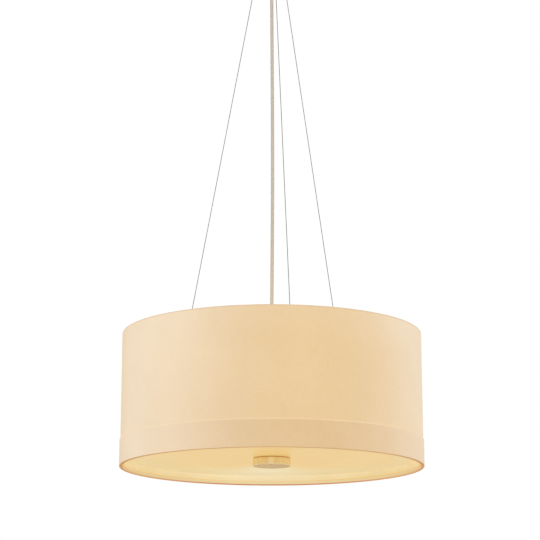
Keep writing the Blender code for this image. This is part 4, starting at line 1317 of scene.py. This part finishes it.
def make_gripper(number, top, up):
    """The ball and barrel that hold a wire, knurled round the middle, and the sleeve in its mouth."""
    ball, neck, barrel, sleeve = 0.005, 0.002, 0.005, 0.0026
    drop, length, crown, travel, mouth, sleeve_end = 0.0105, 0.009, 0.0017, 0.0025, 0.0005, 0.0032
    bottom, ceiling, sleeve_bore = -drop - length, -drop - crown, sleeve + mouth
    start = math.degrees(math.asin(wire_bore_radius / ball))
    end = math.degrees(math.asin(neck / ball))
    sphere = arc((0, 0), ball, 90 - start, -90 + end, steps=28)
    corners = [
        tuple(sphere[-1]), (neck, sphere[-1, 1] - 0.0002), (neck, -drop), (barrel, -drop),
        *groove(barrel, -drop - 0.0018, width=0.0006, depth=0.0002),
        *groove(barrel, bottom + 0.0022, width=0.0006, depth=0.0002),
        (barrel, bottom), (sleeve_bore, bottom), (sleeve_bore, ceiling), (wire_bore_radius, ceiling),
    ]
    edges = [0, 0, 0.0005, 0.0011] + 8 * [0.00005] + [0.0007, 0.0003, 0.0003, 0]
    lower = eased(corners, edges, closed=False)[1:]
    profile = np.concatenate([sphere, open_rows(lower, spacing=0.0007)])
    knurl = flutes(
        count=36, depth=0.00016, low=bottom + 0.0026, high=-drop - 0.0022, least_radius=barrel - 0.00006
    )
    body = turned(
        f"wire_gripper_{number}", profile, finishes["nickel"], top, up, sides=144, swell=knurl
    )
    fit(body, f"wire_{number}", "nickel_brass", f"gripper_body_{number}")
    sleeve_top, sleeve_low = ceiling - travel - gap, bottom - sleeve_end
    corners = [
        (sleeve, sleeve_top), *groove(sleeve, sleeve_low + 0.0012, width=0.0005, depth=0.00015),
        (sleeve, sleeve_low), (wire_bore_radius, sleeve_low), (wire_bore_radius, sleeve_top),
    ]
    profile = eased(corners, [0.0003, 0, 0, 0, 0, 0.0004, 0.0002, 0.0002])
    release = turned(f"release_ring_{number}", profile, finishes["nickel"], top, up, sides=72)
    fit(release, f"sleeve_{number}", "nickel_brass", f"release_sleeve_{number}")


def make_foot_ball(number, foot, up):
    """The ball crimped on the wire's foot, with a short collar round each end of its bore."""
    ball, collar = 0.004, 0.0014
    angle = math.degrees(math.asin(collar / ball))
    sphere = arc((0, 0), ball, 90 - angle, -90 + angle, steps=24)
    bore = wire_bore_radius
    corners = [(collar, ball), *sphere, (collar, -ball), (bore, -ball), (bore, ball)]
    profile = eased(corners, [0.0002, *np.zeros(len(sphere)), 0.0002, 0.0001, 0.0001])
    stop = turned(f"ball_stop_{number}", profile, finishes["zinc"], foot, up, sides=96)
    fit(stop, f"wire_{number}", "zinc_steel", f"wire_stop_{number}")


def make_wires():
    """Each wire with its gripper, sleeve and ball stop."""
    for number, azimuth in enumerate(wire_azimuths, 1):
        top, foot, up = wire_line(azimuth)
        make_wire(number, top, foot, up)
        make_gripper(number, top, up)
        make_foot_ball(number, foot, up)


# The shade


def turn_from(turn, azimuth, radius):
    """How far round a circle a turn is from an azimuth, as a length: half a turn back to half on."""
    return ((turn - azimuth + math.pi) % math.tau - math.pi) * radius


def lap(turn, azimuth, rise):
    """How far a fabric's overlapping end stands out: a quick step up, a flat, and an eased fall."""
    step, margin, fall = 0.0008, 0.001, 0.009
    away = turn_from(turn, azimuth, shade_radius)
    up = np.clip(away / step + 0.5, 0, 1)
    down = np.clip((lap_width + margin - away) / fall, 0, 1)
    return rise * up * up * (3 - 2 * up) * down * down * (3 - 2 * down)


def upright(radius, heights):
    """Points of an upright line in a profile."""
    return np.stack([np.full(len(heights), radius), heights], -1)


def make_drum():
    """The fabric drum, its foot rolled round the lower ring, and the film inside it.

    The outside swells by a slow wave round the drum times a half wave up it, and by the lap.
    """
    cloth_inside = shade_radius - cloth_wall
    ring_rise = middle_of("shade_bottom_ring") - shade_bottom
    roll_inside = ring_wire + hair
    foot_centre, roll_deg = (ring_radius, ring_rise), 198
    wall_bend, row_count = 0.0018, 48
    bend_inside = wall_bend - cloth_wall
    top_edge = (shade_radius - cloth_wall / 2, shade_height - cloth_wall / 2)
    inner_bend = (cloth_inside - bend_inside, ring_rise - roll_inside + bend_inside)
    profile = np.concatenate(
        [
            arc(top_edge, cloth_wall / 2, 180, 0, steps=6)[1:-1],
            upright(shade_radius, np.linspace(shade_height - 0.0004, wall_bend + 0.0004, row_count)),
            arc((shade_radius - wall_bend, wall_bend), wall_bend, 0, -90, steps=8),
            arc(foot_centre, ring_rise, -90, -90 - roll_deg, steps=24),
            arc(foot_centre, roll_inside, -90 - roll_deg, -90, steps=24),
            arc(inner_bend, bend_inside, -90, 0, steps=6),
            upright(cloth_inside, [0.02, shade_height - 0.0006]),
        ]
    )
    seam, lap_rise = math.radians(96), 0.00022
    drift_depth, drift_waves, drift_start = 0.00006, 5, 1.1

    def uneven(turn, height, radius):
        rise = np.clip(height / shade_height, 0, 1)
        drift = drift_depth * np.sin(drift_waves * turn + drift_start) * np.sin(math.pi * rise)
        outside = (radius > shade_radius - cloth_wall / 4) & (height > wall_bend)
        return np.where(outside, radius + drift + lap(turn, seam, lap_rise), radius)

    place = (0, 0, shade_bottom)
    drum = turned("drum_fabric", profile, finishes["drum"], place, sides=shade_sides, swell=uneven)
    fit(drum, "lamp", "cream_fabric", "shade_fabric")
    hem = math.radians(roll_deg) * (ring_rise + roll_inside) / 2
    shade_height + hem
    film_outside, film_inside = cloth_inside - hair, shade_radius - shade_wall
    film_low, film_top = 2 * ring_rise + ring_wire / 2, shade_height - 0.0006
    corners = [
        (film_outside, film_top), (film_outside, film_low),
        (film_inside, film_low), (film_inside, film_top),
    ]
    film = rows(eased(corners, 0.0002, steps=3), spacing=0.012)
    liner = turned("drum_liner", film, finishes["liner"], place, sides=shade_sides)
    fit(liner, "lamp", "cream_fabric", "shade_fabric")


def make_band():
    """The second layer of fabric round the drum's foot, its edges turned in."""
    inside = shade_radius + gap
    height = band_top - shade_bottom
    half_wall = (band_radius - inside) / 2
    middle, row_count = inside + half_wall, 16
    profile = np.concatenate(
        [
            arc((middle, height - half_wall), half_wall, 180, 0, steps=8)[1:-1],
            upright(band_radius, np.linspace(height - half_wall, half_wall, row_count)),
            arc((middle, half_wall), half_wall, 0, -180, steps=8)[1:],
            [(inside, height - half_wall)],
        ]
    )
    seam, lap_rise = math.radians(84), 0.0003

    def lapped(turn, height, radius):
        return radius + np.where(radius > middle, lap(turn, seam, lap_rise), 0)

    place = (0, 0, shade_bottom)
    band = turned("foot_band", profile, finishes["band"], place, sides=shade_sides, swell=lapped)
    fit(band, "lamp", "band_fabric", "lower_band")
    girth = math.tau * middle
    girth + lap_width


def make_rings():
    """The two wire rings inside the shade's edges, the upper with the bead of its butt weld.

    The bead thickens the wire by a bell curve of the way from the weld.
    """
    weld, weld_length, weld_rise = math.radians(250), 0.006, 0.0002

    def beaded(turn, height, radius):
        away = turn_from(turn, weld, ring_radius)
        bead = weld_rise * np.exp(-((2 * away / weld_length) ** 2))
        return ring_radius + (radius - ring_radius) * (1 + bead / ring_wire)

    section = arc((ring_radius, 0), ring_wire, 0, -360, steps=16)[:-1]
    rings = [("top_ring", "shade_top_ring", beaded), ("foot_ring", "shade_bottom_ring", None)]
    for name, node, swell in rings:
        place = (0, 0, middle_of(node))
        ring = turned(name, section, finishes["powder"], place, sides=shade_sides, swell=swell)
        fit(ring, "lamp", "white_steel", node)


def arm_outline(arm_end):
    """The hub's circle with three straight arms, with fillets at their roots and rounded ends."""
    hub, half_width, fillet, end_radius, steps = 0.042, 0.008, 0.002, 0.003, 16
    root = math.sqrt(hub ** 2 - half_width ** 2)
    half_angle = math.degrees(math.asin(half_width / hub))
    points, radii = [], []
    for azimuth in wire_azimuths:
        ahead = out(azimuth)[:2]
        aside = np.array([-ahead[1], ahead[0]]) * half_width
        near, far = ahead * root, ahead * arm_end
        arm = [near - aside, far - aside, far + aside, near + aside]
        start = math.degrees(azimuth) + half_angle
        end = math.degrees(azimuth) + 360 / arm_count - half_angle
        points += [*arm, *arc((0, 0), hub, start, end, steps)[1:-1]]
        radii += [fillet, end_radius, end_radius, fillet, *np.zeros(steps - 1)]
    return eased(points, radii)


def make_arm_plate():
    """The three-armed plate with its holes."""
    past_ring, foot_hole = 0.0015, 0.0025
    low, high = low_of("arm_plate"), high_of("arm_plate")
    outlines = [arm_outline(ring_radius + past_ring), circle(tube_hole_radius)]
    for azimuth in wire_azimuths:
        ahead = out(azimuth)[:2]
        outlines.append(circle(foot_hole, ahead * wire_foot_radius, sides=36))
        outlines.append(circle(clip_screw_radius + gap, ahead * clip_screw_reach, sides=28))
    middle = (low + high) / 2
    plate = flat_plate("shade_carrier", outlines, high - low, middle, finishes["powder"], edge=0.0004)
    fit(plate, "lamp", "white_steel", "arm_plate")


def make_clips():
    """The strap over the top ring at each arm's end, and the screw that holds it."""
    strap_width, heel_radius, hole_depth = 0.010, 0.0009, 0.003
    foot_level, ring_level = gap + clip_wall / 2, gap + ring_wire
    heel = ring_radius - clip_wrap
    over_ring = arc((ring_radius, ring_level), clip_wrap, 180, 55, steps=20)
    corners = [(heel - clip_foot, foot_level), (heel, foot_level), (heel, ring_level)]
    corner = eased(corners, heel_radius, closed=False, steps=6)
    line = open_rows(np.concatenate([corner[:-1], over_ring]), spacing=0.002)
    head, height, shank, tip = 0.003, 0.0016, clip_screw_radius, -0.006
    slot_width, slot_length = 0.0009, 0.0038
    seat = 2 * gap + clip_wall
    top = seat + height
    corners = [(0, top), (head, top), (head, seat), (shank, seat), (shank, tip), (0, tip)]
    profile = rows(eased(corners, [0, 0.001, 0.0002, 0, 0.0004, 0], closed=False), spacing=0.00012)
    cut = thread(pitch=0.0005, depth=0.0002, high=seat - 0.0002, least_radius=shank * 0.7)
    for number, azimuth in enumerate(wire_azimuths, 1):
        ahead, aside = out(azimuth), out(azimuth + math.pi / 2)
        place = ahead * clip_screw_reach + (0, 0, high_of("arm_plate"))
        path = ahead * line[:, :1] + np.array([0, 0, 1]) * (line[:, 1:] + high_of("arm_plate"))
        clip = strap(f"clip_strap_{number}", path, strap_width, clip_wall, finishes["zinc"], aside)
        mouth = place + (0, 0, gap + clip_wall)
        bored(clip, [drill(shank + gap, hole_depth, mouth, (0, 0, 1))])
        fit(clip, "lamp", "zinc_steel", f"ring_clip_{number}")
        screw = turned(
            f"strap_screw_{number}", profile, finishes["zinc"], place, (0, 0, 1), sides=48, swell=cut
        )
        recess = place + (0, 0, top)
        slots = [(slot_width, slot_length, height), (slot_length, slot_width, height)]
        bored(screw, [bar(size, recess) for size in slots])
        fit(screw, "lamp", "zinc_steel", f"clip_screw_{number}")


# The lamp's middle


def make_tube():
    """The threaded tube with the slot that its leads leave by, and its nuts."""
    radius, bore, edge = 0.0065, 0.0039, 0.0005
    slot_width, slot_length, nut_corner = 0.005, 0.018, 0.011
    low, high = low_of("threaded_tube"), high_of("threaded_tube")
    profile = eased([(radius, high), (radius, low), (bore, low), (bore, high)], edge, steps=2)
    outer_count = len(profile) // 2 + 1
    outer = open_rows(profile[:outer_count], spacing=0.00025)
    cut = thread(pitch=0.001, depth=0.00035, least_radius=radius - 0.0002)
    profile = np.concatenate([outer, profile[outer_count:]])
    tube = turned("lamp_tube", profile, finishes["zinc"], sides=48, swell=cut)
    bored(tube, [bar((slot_width, 4 * radius, slot_length), (0, 0, lamp_height))])
    fit(tube, "lamp", "zinc_steel", "threaded_tube")
    nuts = ["plate_nut_upper", "plate_nut_lower", "cluster_nut_upper", "cluster_nut_lower", "disc_nut"]
    for name in nuts:
        low, high = low_of(name), high_of(name)
        nut = hex_nut(name + "_hex", low, high, nut_corner, tube_hole_radius, finishes["zinc"])
        fit(nut, "lamp", "zinc_steel", name)


def make_lower_grip():
    """The cord grip on the tube's top, ribbed round its body."""
    body, tip, body_height = 0.010, 0.005, 0.012
    base, top = low_of("cord_grip_lower"), high_of("cord_grip_lower")
    shoulder, socket = base + body_height, high_of("threaded_tube") + gap
    corners = [
        (tip, top), (body, shoulder), (body, base), (tube_hole_radius, base), (tube_hole_radius, socket),
        (cord_bore_radius, socket), (cord_bore_radius, top),
    ]
    outline = eased(corners, [0.0008, 0.004, 0.0006, 0.0003, 0, 0, 0.0004], steps=6)
    ribs = flutes(
        count=28, depth=0.0004, low=base + 0.0012, high=shoulder - 0.002, least_radius=body - 0.0005
    )
    profile = rows(outline, spacing=0.0006)
    grip = turned("grip_over_plate", profile, finishes["plastic"], sides=224, swell=ribs)
    fit(grip, "lamp", "white_plastic", "cord_grip_lower")


def washer_profile(node, radius, hole, edges, spacing):
    """The profile of a flat round piece with a hole, as high as its node."""
    low, high = low_of(node), high_of(node)
    return rows(eased([(radius, high), (radius, low), (hole, low), (hole, high)], edges), spacing)


def make_cluster():
    """The round box and its cover, and the threaded nipples that carry the lamp holders."""
    wall, nipple, bore = 0.002, 0.005, 0.0032
    past_wall, past_seat = 0.003, 0.006
    low, high = low_of("cluster_body"), high_of("cluster_body")
    inside = cluster_radius - wall
    corners = [
        (cluster_radius, high), (cluster_radius, low), (tube_hole_radius, low),
        (tube_hole_radius, low + wall), (inside, low + wall), (inside, high),
    ]
    profile = rows(eased(corners, [0.0004, 0.0015, 0.0003, 0.0003, 0.0006, 0.0004]), spacing=0.004)
    box = turned("cluster_box", profile, finishes["powder"], sides=144)
    cutters = []
    for azimuth in lamp_azimuths:
        start = out(azimuth) * cluster_radius + (0, 0, lamp_height)
        cutters.append(drill(nipple + gap, 2 * wall, start, out(azimuth), sides=40))
    bored(box, cutters)
    fit(box, "lamp", "white_steel", "cluster_body")
    edges = [0.0012, 0.0003, 0.0003, 0.0003]
    profile = washer_profile("cluster_cover", cluster_radius, tube_hole_radius, edges, spacing=0.004)
    cover = turned("cluster_lid", profile, finishes["powder"], sides=144)
    fit(cover, "lamp", "white_steel", "cluster_cover")
    start, end = inside - past_wall, holder_start + past_seat
    corners = [(nipple, end), (nipple, start), (bore, start), (bore, end)]
    profile = rows(eased(corners, 0.0004, steps=2), spacing=0.00025)
    cut = thread(pitch=0.001, depth=0.0003, least_radius=nipple - 0.0002)
    place = (0, 0, lamp_height)
    for number, azimuth in enumerate(lamp_azimuths, 1):
        name = f"holder_tube_{number}"
        piece = turned(name, profile, finishes["zinc"], place, out(azimuth), sides=48, swell=cut)
        fit(piece, "lamp", "zinc_steel", f"holder_nipple_{number}")


def holder_shape(cap):
    """A lamp holder's profile, and the ribs round it."""
    radius, waist_radius, nipple_hole, floor = 0.0195, 0.0188, 0.0053, holder_start + 0.003
    base, waist, mouth = holder_start + 0.016, holder_start + 0.018, cap + 0.0005
    corners = [
        (radius, holder_end), (radius, holder_end - 0.0045), (waist_radius, holder_end - 0.005),
        (waist_radius, waist), (radius, base), (radius, holder_start), (nipple_hole, holder_start),
        (nipple_hole, floor), (mouth, floor), (mouth, holder_end),
    ]
    edges = [0.001, 0.0003, 0.0003, 0.0004, 0.0004, 0.0035, 0.0003, 0.0002, 0.0006, 0.0006]
    ribs = flutes(
        count=32, depth=0.0006, low=waist + 0.002, high=holder_end - 0.0075, least_radius=radius - 0.001
    )
    return rows(eased(corners, edges, steps=5), spacing=0.0012), ribs


def cap_shape(cap, top):
    """A bulb's metal cap's profile, from its seat in the neck to its contact, and its thread."""
    start, contact, shelf, step, tip = holder_end - 0.027, 0.005, 0.0075, 0.0012, 0.002
    corners = [
        (0, top), (cap, top), (cap, start), (shelf, start - step), (contact, start - step),
        (contact, start - tip), (0, start - tip),
    ]
    outline = eased(corners, [0, 0.0003, 0.0012, 0.0004, 0.0001, 0.0003, 0], closed=False)
    screwed = thread(
        pitch=0.0036, depth=0.0009, low=start + 0.0015, high=holder_end - 0.002, least_radius=cap * 0.8
    )
    return open_rows(outline, spacing=0.0005), screwed


def neck_shape(neck, start):
    """A bulb's plastic neck's profile, and its cooling fins."""
    collar, shoulder, shoulder_rise = 0.0165, 0.0187, 0.004
    corners = [
        (0, neck_end), (neck, neck_end), (shoulder, start + shoulder_rise), (collar, start), (0, start)
    ]
    outline = eased(corners, [0, 0.0008, 0.004, 0.0006, 0], closed=False, steps=5)
    fins = flutes(
        count=40, depth=0.0004, low=start + shoulder_rise, high=neck_end - 0.0012, least_radius=collar
    )
    return open_rows(outline, spacing=0.0014), fins


def globe_profile(neck):
    """A bulb's globe in section: an outer arc and back along an inner one, both open at the neck."""
    radius, wall, steps = 0.030, 0.0012, 40
    outer_deg = math.degrees(math.asin(neck / radius))
    inner_deg = math.degrees(math.asin((neck - wall) / (radius - wall)))
    centre = (0, neck_end + gap + radius * math.cos(math.radians(outer_deg)))
    outer = arc(centre, radius, 90, -90 + outer_deg, steps)
    inner = arc(centre, radius - wall, -90 + inner_deg, 90, steps)
    profile = np.concatenate([outer, inner])
    profile[[0, -1], 0] = 0
    return profile


def make_lamps():
    """Each lamp holder, ribbed round its mouth, and its bulb's threaded cap, neck and frosted globe."""
    cap, neck = 0.0133, 0.0225
    collar_start = holder_end + gap
    holder, ribs = holder_shape(cap)
    metal, cap_thread = cap_shape(cap, collar_start - hair)
    stem, fins = neck_shape(neck, collar_start)
    globe = globe_profile(neck)
    for number, azimuth in enumerate(lamp_azimuths, 1):
        bulb, base = f"bulb_{number}", f"bulb_base_{number}"
        parts = [
            ("e27_holder", holder, "plastic", 192, ribs, "lamp", "white_plastic", f"lamp_holder_{number}"),
            ("bulb_cap", metal, "nickel", 96, cap_thread, bulb, "nickel_brass", base),
            ("bulb_neck", stem, "bulb_plastic", 240, fins, bulb, "bulb_plastic", base),
            ("frosted_globe", globe, "bulb", 96, None, bulb, "bulb_globe", f"bulb_globe_{number}"),
        ]
        for name, profile, finish, sides, swell, body, slot, node in parts:
            place, ahead = (0, 0, lamp_height), out(azimuth)
            part = turned(f"{name}_{number}", profile, finishes[finish], place, ahead, sides, swell)
            fit(part, body, slot, node)


def make_disc():
    """The opal disc, and the washer that stops it."""
    hole, edges = 0.007, [0.0009, 0.0009, 0.0004, 0.0004]
    low, high, radius = low_of("opal_disc"), high_of("opal_disc"), reach_of("opal_disc")
    outline = eased([(radius, high), (radius, low), (hole, low), (hole, high)], edges, steps=6)
    disc = turned("opal_sheet", rows(outline, spacing=0.012), finishes["opal"], sides=shade_sides)
    fit(disc, "disc", "opal", "opal_disc")
    radius = reach_of("disc_washer")
    profile = washer_profile("disc_washer", radius, tube_hole_radius, 0.0003, spacing=0.003)
    washer = turned("stop_washer", profile, finishes["zinc"], sides=96)
    fit(washer, "lamp", "zinc_steel", "disc_washer")


def make_knob():
    """The turned knob that carries the disc, with a recess round its top and a bore for the tube."""
    bore_depth, recess, recess_height = 0.0104, 0.0008, 0.0009
    floor, ledge, neck = knob_high - bore_depth, knob_high - recess_height, knob_radius - recess
    corners = [
        (0, floor), (tube_hole_radius, floor), (tube_hole_radius, knob_high), (neck, knob_high),
        (neck, ledge), (knob_radius, ledge), (knob_radius, knob_low), (0, knob_low),
    ]
    edges = [0, 0.0002, 0.0003, 0.0001, 0.0001, 0.0004, 0.0006, 0]
    profile = open_rows(eased(corners, edges, closed=False, steps=5), spacing=0.0015)
    knob = turned("turned_knob", profile, finishes["satin"], sides=256)
    fit(knob, "knob", "satin_metal", "finial_knob")


make_camera()
make_power_cord()
make_stage()
make_world(level=0.55)
lamp_middle = (0, 0, -0.75)
make_light("key_left", (-2.4, -2.2, 0.4), lamp_middle, size=2.2, power=41)
make_light("fill_right", (2.6, -1.2, 0.2), lamp_middle, size=2.0, power=30)
make_light("fill_back", (0.3, 3.0, 2.2), lamp_middle, size=2.0, power=25)
make_bracket()
make_canopy()
make_canopy_screws()
make_terminal_block()
make_upper_grip()
make_seats()
make_wires()
make_drum()
make_band()
make_rings()
make_arm_plate()
make_clips()
make_tube()
make_lower_grip()
make_cluster()
make_lamps()
make_disc()
make_knob()

bpy.context.scene.view_settings.view_transform = "Standard"
